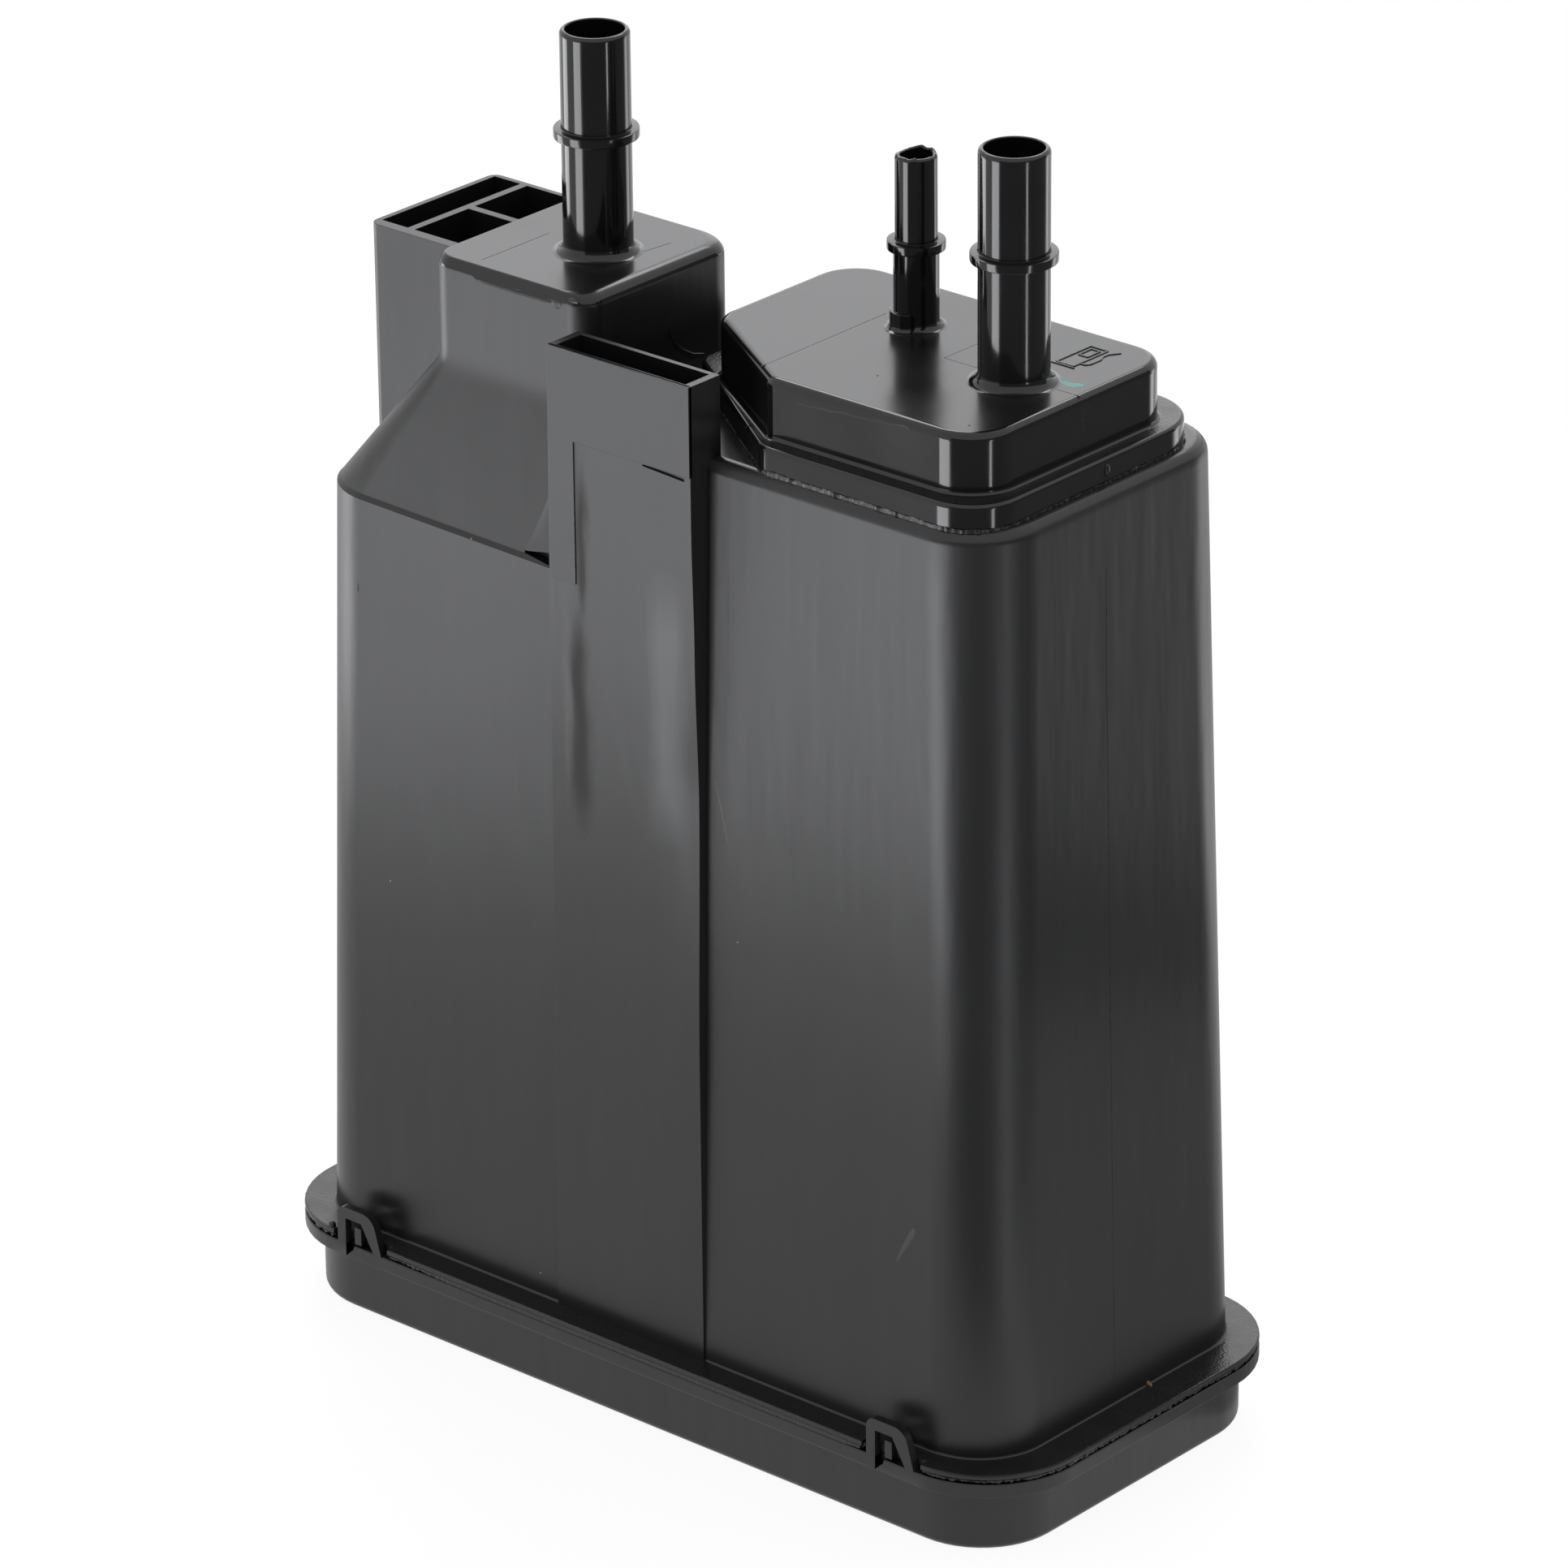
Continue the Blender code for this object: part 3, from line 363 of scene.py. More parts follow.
def body_half(z):
    shrink = BODY_DRAFT * max(0.0, z - FLANGE_TOP)
    return BODY_X - shrink, BODY_Y - shrink


def at(points, z):
    return [(x, y, z) for x, y in points]


def body_ring(z, inset=0.0):
    return at(centred(*body_half(z), BODY_CORNER, inset), z)


def band_ring(z, inset=0.0):
    return at(centred(BAND_X, BAND_Y, BAND_CORNER, inset), z)


def band_depth(side, inner, outer):
    """Front and back of a form at the band's front or back, given how far its ends lie inside the band."""
    return sorted((side * (BAND_Y - inner), side * (BAND_Y - outer)))


def arc_steps(radius, steps):
    """(inset, drop) pairs that round an outer edge, from its side to its top."""
    for step in range(steps + 1):
        angle = math.pi / 2 * step / steps
        yield radius * (1 - math.cos(angle)), radius * (1 - math.sin(angle))


def fillet_steps(radius, steps):
    """(outset, rise) pairs that round an inner edge, from the floor to the wall."""
    for step in range(steps + 1):
        angle = math.pi / 2 * step / steps
        yield radius * (1 - math.sin(angle)), radius * (1 - math.cos(angle))


def turning(steps):
    """Evenly spaced angles of a full turn."""
    return [2 * math.pi * i / steps for i in range(steps)]


# Pieces

def linked(name, data):
    """A new object in the scene."""
    obj = bpy.data.objects.new(name, data)
    bpy.context.scene.collection.objects.link(obj)
    return obj


class Piece:
    """Gathers closed shells into one mesh, each face with its own look."""

    def __init__(self, name):
        self.name = name
        self.points = []
        self.faces = []
        self.look = []

    def gather(self, points, faces, look):
        offset = len(self.points)
        self.points += [tuple(c * MM for c in point) for point in points]
        self.faces += [tuple(i + offset for i in face) for face in faces]
        self.look += [look] * len(faces)

    def loft(self, rings, look, lid=None):
        """A shell through rings of equal length; lid is the look of its upper end."""
        count, last = len(rings[0]), (len(rings) - 1) * len(rings[0])
        faces = []
        for a in range(0, last, count):
            b = a + count
            for i in range(count):
                j = (i + 1) % count
                faces.append((a + i, a + j, b + j, b + i))
        faces += [range(count)[::-1], range(last, last + count)]
        self.gather([point for ring in rings for point in ring], faces, look)
        if lid is not None:
            self.look[-1] = lid

    def solid(self, obj, look, lid=None, rim=None):
        """Takes a helper object's shape after its modifiers.

        Faces that look up get the lid look, and those above the rim's height are glossy.
        """
        graph = bpy.context.evaluated_depsgraph_get()
        shape = obj.evaluated_get(graph).to_mesh()
        offset = len(self.points)
        self.points += [tuple(vertex.co) for vertex in shape.vertices]
        for polygon in shape.polygons:
            self.faces.append(tuple(offset + i for i in polygon.vertices))
            up = lid is not None and polygon.normal.z > UPWARD
            edge = rim is not None and polygon.center.z > rim * MM
            self.look.append(lid if up else GLOSS if edge else look)
        obj.evaluated_get(graph).to_mesh_clear()
        bpy.data.objects.remove(obj)

    def make(self, replaces):
        mesh = bpy.data.meshes.new(self.name)
        mesh.from_pydata(self.points, [], self.faces)
        for look in looks:
            mesh.materials.append(look)
        mesh.polygons.foreach_set("material_index", self.look)
        mesh.validate()
        mesh.shade_smooth()
        mesh.set_sharp_from_angle(angle=SMOOTH_ANGLE)
        obj = linked(self.name, mesh)
        weighted = obj.modifiers.new("weighted", "WEIGHTED_NORMAL")
        weighted.keep_sharp = True
        weighted.weight = 100
        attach(obj, "root")
        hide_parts(replaces)


def helper(name, rings):
    """A closed helper solid through rings in mm, to be cut, bevelled and gathered."""
    built = bmesh.new()
    layers = [[built.verts.new(Vector(point) * MM) for point in ring] for ring in rings]
    count = len(layers[0])
    for lower, upper in zip(layers, layers[1:]):
        for i in range(count):
            j = (i + 1) % count
            built.faces.new((lower[i], lower[j], upper[j], upper[i]))
    built.faces.new(reversed(layers[0]))
    built.faces.new(layers[-1])
    mesh = bpy.data.meshes.new(name)
    built.to_mesh(mesh)
    built.free()
    return linked(name, mesh)


def helper_prism(name, points, bottom, top):
    return helper(name, (at(points, bottom), at(points, top)))


def helper_box(name, left, right, front, back, bottom, top):
    return helper_prism(name, ((left, front), (right, front), (right, back), (left, back)), bottom, top)


def helper_section_y(name, points, front, back):
    """A solid with an (x, z) section, counter-clockwise seen from the front."""
    return helper(name, [[(x, y, z) for x, z in points] for y in (back, front)])


def cut(obj, cutters):
    for cutter in cutters:
        step = obj.modifiers.new("cut", "BOOLEAN")
        step.operation = "DIFFERENCE"
        step.solver = "EXACT"
        step.object = cutter
        bpy.context.view_layer.update()
        graph = bpy.context.evaluated_depsgraph_get()
        result = bpy.data.meshes.new_from_object(obj.evaluated_get(graph))
        obj.modifiers.clear()
        obj.data = result
        bpy.data.objects.remove(cutter)
    return obj


def bevelled(obj, width):
    step = obj.modifiers.new("bevel", "BEVEL")
    step.width = width * MM
    step.segments = 2
    step.limit_method = "ANGLE"
    step.angle_limit = BEVEL_ANGLE
    step.use_clamp_overlap = True
    bpy.context.view_layer.update()
    return obj


# Small forms

UP, RIGHT, FRONT = (0, 0, 1), (1, 0, 0), (0, -1, 0)


def strip(piece, path, normal, width, height, look, sink=0.15):
    """A low rib along a path on a face, sunk a little into it; the width may be one per point."""
    normal = Vector(normal).normalized()
    widths = width if isinstance(width, (list, tuple)) else [width] * len(path)
    rings = []
    for i, point in enumerate(path):
        along = Vector(path[min(i + 1, len(path) - 1)]) - Vector(path[max(i - 1, 0)])
        side = normal.cross(along.normalized()).normalized() * widths[i] / 2
        low, high = Vector(point) - normal * sink, Vector(point) + normal * height
        rings.append([low - side, low + side, high + 0.6 * side, high - 0.6 * side])
    piece.loft(rings, look)


def blob(piece, centre, radii, look, across=14, around=20):
    """A small rounded lump."""
    (x, y, z), (wide, deep, tall) = centre, radii
    rings = []
    for i in range(1, across):
        rise = -math.pi / 2 + math.pi * i / across
        rings.append([
            (
                x + wide * math.cos(rise) * math.cos(turn),
                y + deep * math.cos(rise) * math.sin(turn),
                z + tall * math.sin(rise),
            )
            for turn in turning(around)
        ])
    piece.loft(rings, look)


def walked(points, spacing):
    """Evenly spaced points round a closed outline, each with its outward direction."""
    lengths = [math.dist(points[i], points[(i + 1) % len(points)]) for i in range(len(points))]
    total = sum(lengths)
    count = int(total / spacing)
    found, i, passed = [], 0, 0.0
    for step in range(count):
        goal = total * step / count
        while passed + lengths[i] < goal:
            passed += lengths[i]
            i += 1
        a, b = points[i], points[(i + 1) % len(points)]
        share = (goal - passed) / lengths[i]
        along_x, along_y = (b[0] - a[0]) / lengths[i], (b[1] - a[1]) / lengths[i]
        found.append((a[0] + (b[0] - a[0]) * share, a[1] + (b[1] - a[1]) * share, along_y, -along_x))
    return found


def smooth(value, start, end):
    """0 before start, 1 after end, with a soft ramp between."""
    share = min(1.0, max(0.0, (value - start) / (end - start)))
    return share * share * (3 - 2 * share)


def wobble(x, y, layer, scale=0.8):
    """Fixed noise between about -0.7 and 0.7; each layer has its own."""
    return noise.noise(Vector((x * scale, y * scale, layer * 17.3)))


def weld_bead(piece, points, section, spacing, look):
    """A ragged bead round an outline; section gives (outset, height) pairs, inner side first, going up."""
    sections = [
        [(x + out_x * out, y + out_y * out, z) for out, z in section(x, y)]
        for x, y, out_x, out_y in walked(points, spacing)
    ]
    sides, count = len(sections[0]), len(sections)
    faces = []
    for i in range(count):
        a, b = i * sides, (i + 1) % count * sides
        for j in range(sides):
            k = (j + 1) % sides
            faces.append((a + j, a + k, b + k, b + j))
    piece.gather([point for each in sections for point in each], faces, look)


# Housing

housing = Piece("housing_moulding")


def roof_edge(x):
    """Height of the crease, which falls a little towards the pocket."""
    return ROOF_BOTTOM - ROOF_FALL * (x - ROOF_START)


def add_body():
    """The drafted body with a fillet on the flange, cut down to the crease on the vent side."""
    fillet = 0.6
    rings = [body_ring(FLANGE_TOP - 1.0, -fillet)]
    for outset, rise in fillet_steps(fillet, 6):
        rings.append(at(centred(BODY_X, BODY_Y, BODY_CORNER, -outset), FLANGE_TOP + rise))
    rings += [body_ring(z) for z in (40, 80, 120, 160, 200, FACE_TOP - 4)]
    for inset, drop in arc_steps(HOUSING_TOP - FACE_TOP, 8):
        rings.append(at(centred(*body_half(FACE_TOP), BODY_CORNER, inset), HOUSING_TOP - drop))
    body = helper("body", rings)
    corners = ((-130, -80), (SPLIT_X, -80), (SPLIT_X, 80), (-130, 80))
    vent_side = helper("vent_side", (
        [(px, py, roof_edge(px)) for px, py in corners],
        at(corners, HOUSING_TOP + 20),
    ))
    housing.solid(cut(body, (vent_side, wedge_gap())), SATIN, TOP)


def wedge_gap():
    """The dark gap under the web beside the pocket."""
    section = ((-34.2, 203.5), (-20.0, 202.0), (-20.0, 207.5), (-34.2, 204.1))
    return helper_section_y("wedge_gap", section, -60, -40.6)


def tower_ring(z, inset=0.0):
    """The tower's outline, whose rounded top edge isn't equally wide on its four sides."""
    left, right, front, back = TOWER
    outline = rect(
        left + inset * 0.55, right - inset * 1.15, front + inset * 0.5, back - inset * 0.8,
        (6.0 - 0.3 * inset, 6.0, 8.0, 6.0),
    )
    return at(outline, z)


def add_roof_and_tower():
    """The sloping roof from its crease to the tower, and the tower up to its rounded top edge."""
    chamfer = 0.95

    def foot(rise, inset):
        outline = centred(*body_half(ROOF_BOTTOM), BODY_CORNER, inset)
        ends = [(min(x, SPLIT_X + 6), y) for x, y in outline]
        return [(x, y, roof_edge(x) + rise) for x, y in ends]

    low, high = foot(chamfer + 0.12, chamfer), tower_ring(TOWER_FOOT)
    rings = [foot(-1.5, chamfer), foot(-0.02, 0.03), foot(chamfer - 0.1, chamfer - 0.06)]
    for share in (0.0, 0.1, 0.3, 0.5, 0.7, 0.9, 0.965):
        rings.append([tuple(a + (b - a) * share for a, b in zip(p, q)) for p, q in zip(low, high)])
    rings += [tower_ring(TOWER_FOOT + 0.9), tower_ring(TOWER_FOOT + 2.5), tower_ring(TOWER_TOP - 5.0)]
    for inset, drop in arc_steps(3.0, 8):
        rings.append(tower_ring(TOWER_TOP - drop, inset))
    housing.solid(cut(helper("roof", rings), (wedge_gap(),)), SATIN, TOP, TOWER_TOP - 2.6)
    web = []
    for share in (0.0, 0.12, 0.3, 0.6, 1.0):
        left, right = -34.6 + 11.6 * share ** 0.8, -20.0
        low_left, low_right = 204.1 + 31.9 * share, 207.2 + 28.8 * share
        front, back = -42.6 + 5.2 * share, -36.5
        web.append([
            (left, front, low_left), (left + 2.5, front - 0.55, low_left + 0.5 * (1 - share)),
            (right, front - 0.9 + 0.4 * share, low_right), (right, back, low_right), (left, back, low_left),
        ])
    housing.solid(helper("web", web), SATIN)


def add_end_block():
    """The block on the vent end, with a slot and two cells open upwards."""
    block = helper_prism("block", rect(*BLOCK, (2.6, 0.5, 0.5, 2.4), 5), ROOF_BOTTOM - 3.0, BLOCK_RIM)
    slot_floor, cell_floor, top = 226.4, 241.9, BLOCK_RIM + 10
    cut(block, (
        helper_box("slot", -92.9, -85.0, -24.4, 12.9, slot_floor, top),
        helper_box("cell", -82.9, -60.0, -24.4, -6.7, cell_floor, top),
        helper_box("cell", -82.9, -60.0, -4.5, 12.9, cell_floor, top),
    ))
    housing.solid(bevelled(block, 0.35), SATIN)


def panel_face(x, z):
    """Where the panel's front lies in Y: a swell below the leg, and a lean backwards at the right."""
    swell = 0.14 * smooth(x, -21.5, -19.2) * (1 - smooth(x, -18.6, -15.6)) * smooth(z, 138, 176)
    depth = 0.6 + 0.7 * (1 - smooth(z, 160, 192))
    lean = depth * smooth(x, 4.0, 23.0) * smooth(z, 96, 165) * (1 - smooth(z, 196, 226))
    return PANEL_FRONT - 0.36 * smooth(z, 120, 200) - swell + lean


def add_front_pocket():
    """The front panel with the pocket's slot, its collar and the collar's leg."""
    columns, back, spread = 36, -38.3, 3.2
    heights = [40 + 8 * i for i in range(10)] + [124 + 3.4 * i for i in range(39)]
    heights = [FLANGE_TOP - 1.0, *heights, POCKET_RIM]
    rings = []
    for z in heights:
        left = POCKET_LEFT - spread * (POCKET_RIM - z) / (POCKET_RIM - FLANGE_TOP)
        across = [left + (POCKET_RIGHT - left) * i / columns for i in range(columns + 1)]
        ring = [(x, panel_face(x, z), z) for x in across]
        rings.append(ring + [(POCKET_RIGHT, back, z), (left, back, z)])
    slot = (-18.9, 18.8, -47.45, -39.6, 192.3, POCKET_RIM + 5)
    collar_z, leg_z, leg_x = 237.1, 203.2, -13.5
    section = (
        (POCKET_LEFT - 0.5, leg_z), (leg_x, leg_z), (leg_x, collar_z),
        (POCKET_RIGHT, collar_z), (POCKET_RIGHT, POCKET_RIM), (POCKET_LEFT, POCKET_RIM),
    )
    notch = helper_section_y("notch", ((6.7, 236.6), (18.9, 235.9), (18.9, 237.6), (6.7, 236.9)), -50, -47.75)
    collar = helper_section_y("collar", section, -48.7, -47.6)
    panel = cut(helper("panel", rings), (helper_box("slot", *slot), notch))
    housing.solid(bevelled(panel, 0.28), SATIN)
    housing.solid(bevelled(cut(collar, (helper_box("slot", *slot),)), 0.12), SATIN)


def add_flange():
    """The weld flange, notched round the snap loops, with the teeth that stand in them."""
    profile = (
        (0.8, FLANGE_BOTTOM), (0.6, 19.9), (0.08, 20.05), (0.0, 20.15),
        (0.0, FLANGE_TOP - 0.45), (0.14, FLANGE_TOP - 0.13), (0.45, FLANGE_TOP),
    )
    plate = helper("flange", [band_ring(z, inset) for inset, z in profile])
    for x, side in LOOPS:
        front, back = band_depth(side, 2.3, -3)
        cut(plate, (helper_box(
            "notch", x - NOTCH_HALF, x + NOTCH_HALF, front, back, FLANGE_BOTTOM - 3, FLANGE_TOP + 3,
        ),))
    housing.solid(plate, SATIN, STIPPLE)
    for x, side in LOOPS:
        front, back = band_depth(side, 5.0, 0.4)
        tooth = helper_box("tooth", x - 2.2, x, front, back, FLANGE_BOTTOM + 0.1, FLANGE_BOTTOM + 4.6)
        housing.solid(bevelled(tooth, 0.3), SATIN)


def lower_weld(x, y):
    """The bead squeezed out between flange and cover: flush along the front's middle, crumbly elsewhere."""
    front = 1 - smooth(y, -BAND_Y, -BAND_Y + 3)
    whole = front * smooth(x, -74, -46) * (1 - smooth(x, 66, 76))
    rough = wobble(x, y, 1, 1.1) + 0.6 * wobble(x, y, 2, 2.9)
    other = wobble(x, y, 3, 1.3) + 0.6 * wobble(x, y, 4, 3.1)
    low = BAND_TOP + 0.04 + (1 - whole) * max(0.05, 0.38 + 0.5 * rough)
    high = 20.1 - (1 - whole) * max(0.0, 0.25 + 0.5 * other)
    out = -0.03 - (1 - whole) * max(0.0, 0.28 + 0.5 * other)
    inner, notched = -4.2, -3.2
    if abs(y) > BAND_Y - 3 and abs(abs(x) - LOOP_X) < NOTCH_HALF + 0.2:
        out = notched
    high = max(high, low + 0.3)
    return (
        (inner, BAND_TOP + 0.4), (inner, high), (out - 0.15, high),
        (out, high - 0.12), (out, low + 0.12), (out - 0.15, low),
    )


def add_marks():
    """Parting lines, flash, a painted shade line under the collar and the marks of use on the housing."""
    # On the tower: two parting lines, a curved mark, and flash along the upper edge
    for path in (((-55.1, -32.2), (-55.1, -20), (-55.2, -9.9)), ((-31.5, -11.2), (-30.9, -5), (-30.0, 2.8))):
        strip(housing, at(path, TOWER_TOP), UP, 0.22, 0.04, FLASH)
    curve = ((-8.9, 250.1), (-8.4, 248.0), (-7.1, 245.9), (-4.6, 243.6), (-1.2, 241.6), (2.6, 240.6))
    strip(housing, [(TOWER[1], y, z) for y, z in curve], RIGHT, (0.5, 1.0, 1.4, 1.6, 1.5, 1.2), 0.16, TOP)
    reach = range(-57, -27, 2)
    film = [(x, -35.75 + 0.25 * smooth(x, -33, -27), 263.1 + 0.2 * wobble(x, 0, 13, 0.7)) for x in reach]
    strip(housing, film, (0, -1, 0.5), [0.6 + 3.4 * smooth(x, -57, -52) for x in reach], 0.16, GLOSS, 0.7)
    blob(housing, (-29.0, -35.95, 261.9), (2.2, 0.42, 1.2), FLASH)
    blob(housing, (-25.0, -35.5, 263.5), (2.2, 0.4, 0.6), TOP)
    # Droplets on the flange, and under the collar a thin dark strip in the flash look: painted shade for the
    # shadowed step of the collar's lower edge
    for x, y, z, radius in ((-91.4, -52.7, 21.4, 1.0), (71.4, -52.9, 19.9, 0.6), (72.9, -52.9, 20.2, 0.5)):
        blob(housing, (x, y, z), (radius, radius * 0.8, radius), GLOSS)
    strip(housing, [(x, -48.36, 237.05) for x in (-13.4, -3.0, 6.6)], FRONT, 0.3, 0.03, FLASH)

    # On the front: a nick, a scratch, specks and a scuff
    def on_front(*places):
        return [(x, -body_half(z)[1], z) for x, z in places]

    strip(housing, on_front((-85, 181.0), (-84.9, 182.0), (-85, 183.0)), FRONT, (0.1, 0.34, 0.1), 0.03, FLASH)
    strip(housing, on_front((23.2, 165), (25.3, 158), (27.0, 151)), FRONT, (0.05, 0.12, 0.05), 0.02, DUST)
    for x, z, radius in ((-76, 112, 0.25), (-30, 27, 0.25), (30.0, 128, 0.2), (-49.5, 203.2, 0.22)):
        blob(housing, on_front((x, z))[0], (radius, 0.12, radius), DUST, 6, 8)
    scuff = on_front(*((77.0 + 5.2 * share, 64.8 + 9.6 * share) for share in (0.0, 0.3, 0.6, 0.85, 1.0)))
    strip(housing, scuff, FRONT, (0.5, 1.5, 2.0, 2.3, 1.2), 0.02, SCUFF)
    # At the tank end: the parting line and a brown fleck
    seam = [(body_half(z)[0], -3.5 + 0.2 * wobble(z, 0, 5, 0.05), z) for z in range(27, 225, 14)]
    strip(housing, seam, (1, 0, 0.02), 0.2, 0.03, FLASH)
    fleck = ((103.0, 9.0, 21.5), (104.3, 8.2, 21.9), (105.8, 8.0, 21.5))
    strip(housing, fleck, UP, (0.7, 1.0, 0.6), 0.35, BROWN)


def torn(angle):
    """How far the narrow stub's torn rim stands up or is chipped away at an angle in degrees."""
    lift = 0.0
    for centre, spread, height in (
        (114, 18, 0.55), (72, 13, 0.5), (183, 26, -0.35), (20, 9, -0.35),
        (240, 9, -0.25), (285, 6, -0.15), (306, 5, 0.3),
    ):
        away = (angle - centre + 180) % 360 - 180
        lift += height * math.exp(-(away / spread) ** 2)
    return lift


def add_pipe(piece, stub, ragged=False):
    """A stub with a fillet, a bead and a lip, rounded or torn, and its bore down to a dark floor."""
    x, y, base, pipe, foot, bead, bead_height, height, bore = stub
    fillet, lip = (2.5, 1.1) if pipe > 6 else (1.8, 0.8)
    bead_width, torn_depth = 2.2, 1.3
    profile = [(foot + fillet + 0.4, base - 0.6)]
    profile += [(foot + outset, base + rise) for outset, rise in fillet_steps(fillet, 7)]
    low, high = base + bead_height, base + bead_height + bead_width
    profile += [
        (foot, low - 0.35), (foot + 0.1, low - 0.1), (foot + 0.35, low),
        (bead - 0.3, low), (bead - 0.08, low + 0.1), (bead, low + 0.35),
        (bead, high - 0.35), (bead - 0.08, high - 0.1), (bead - 0.3, high),
        (pipe + 0.35, high), (pipe + 0.1, high + 0.1), (pipe, high + 0.35),
    ]
    profile += [(pipe - inset * 0.85, base + height - drop) for inset, drop in arc_steps(lip, 8)]
    inner = pipe - lip * 0.85 - bore
    profile += [(bore + outset, base + height - drop) for outset, drop in fillet_steps(inner, 5)]
    profile += [(bore, base + height - 8), (bore - 0.15, base + 1)]
    rings = []
    for radius, z in profile:
        share = max(0.0, (z - (base + height - torn_depth)) / torn_depth) if ragged else 0.0
        ring = []
        for angle in turning(96):
            across, deep = math.cos(angle), math.sin(angle)
            reach = radius - share * 0.44 * abs(wobble(across * 5, deep * 5, 14))
            ring.append((x + reach * across, y + reach * deep, z + share * torn(math.degrees(angle))))
        rings.append(ring)
    piece.loft(rings, GLOSS)


add_body()
add_roof_and_tower()
add_end_block()
add_front_pocket()
add_flange()
weld_bead(housing, centred(BAND_X, BAND_Y, BAND_CORNER), lower_weld, 0.45, FLASH)
add_pipe(housing, VENT)
add_marks()
housing.make("housing")


# Port cap

cap = Piece("port_cap_moulding")


def cap_flange(inset=0.0):
    left, right, front, back = CAP_FLANGE
    left, right, front, back = left + inset, right - inset, front + inset, back - inset
    corners = ((34.6, front), (right, front), (right, back), (left, back), (left, -9.8 + 0.6 * inset))
    return rounded(corners, [radius - inset for radius in (9.0, 12.4, 15.5, 10.0, 6.0)])


def cap_wall(inset=0.0):
    left, right, front, back = CAP_WALL
    left, right, front, back = left + inset, right - inset, front + inset, back - inset
    corners = (
        (33.2 + 0.4 * inset, front), (right, front), (right, back), (left, back), (left, -14.6 + 0.7 * inset),
    )
    return rounded(corners, [radius - inset for radius in (5.0, 11.4, 10.5, 11.0, 8.0)])


def add_cap():
    """The cap's flange, and its wall with a fillet on the flange and a rounded top edge."""
    rings = [at(cap_flange(0.3), CAP_BOTTOM)]
    rings += [at(cap_flange(), z) for z in (CAP_BOTTOM + 0.3, CAP_LEDGE - 1.0)]
    rings += [at(cap_flange(inset), CAP_LEDGE - drop) for inset, drop in arc_steps(1.0, 5)]
    cap.loft(rings, GLOSS, STIPPLE)
    fillet, edge = 0.9, 2.0
    rings = [at(cap_wall(-fillet), CAP_LEDGE - 0.5)]
    rings += [at(cap_wall(-outset), CAP_LEDGE + rise) for outset, rise in fillet_steps(fillet, 5)]
    rings += [at(cap_wall(inset), CAP_TOP - drop) for inset, drop in arc_steps(edge, 8)]
    cap.loft(rings, GLOSS, TOP)


def upper_weld(x, y):
    """The thin ragged bead under the cap's flange."""
    rough = wobble(x, y, 6, 0.9) + 0.6 * wobble(x, y, 7, 2.6)
    other = wobble(x, y, 8, 0.5) + 0.5 * wobble(x, y, 9, 2.0)
    spill = smooth(x, -12, 0) * (1 - smooth(x, 26, 44)) * (1 - smooth(y, -36, -30))
    out = 0.22 + max(-0.1, 0.45 * rough) + 0.3 * spill
    low = CAP_BOTTOM - 0.75 - 0.5 * spill * max(0.0, 0.5 + rough)
    high = CAP_BOTTOM + 0.25 + max(-0.1, 0.4 * other)
    return (-0.8, low), (-0.8, high), (out * 0.5, high), (out, (low + high) / 2), (out * 0.7, low)


def add_boss():
    """The half-round boss on the front left of the narrow stub, with a ragged lip and a fillet."""
    x, y, radius = PURGE.x - 0.45, PURGE.y - 2.75, 3.85
    profile = (
        (1.6, -0.5), (1.2, 0.05), (0.55, 0.25), (0.15, 0.7), (0.0, 1.2),
        (0.0, 3.9), (-0.12, 4.15), (0.1, 4.3), (-0.4, 4.4),
    )
    rings = []
    for grow, rise in profile:
        reach, ring = radius + grow, []
        for angle in turning(48):
            across, deep = math.cos(angle), math.sin(angle)
            ragged = 0.25 * wobble(across * 4, deep * 4, 10, 1.0) if rise > 3.8 else 0.0
            ring.append((x + reach * across, y + reach * deep, CAP_TOP + rise + ragged))
        rings.append(ring)
    cap.loft(rings, GLOSS)


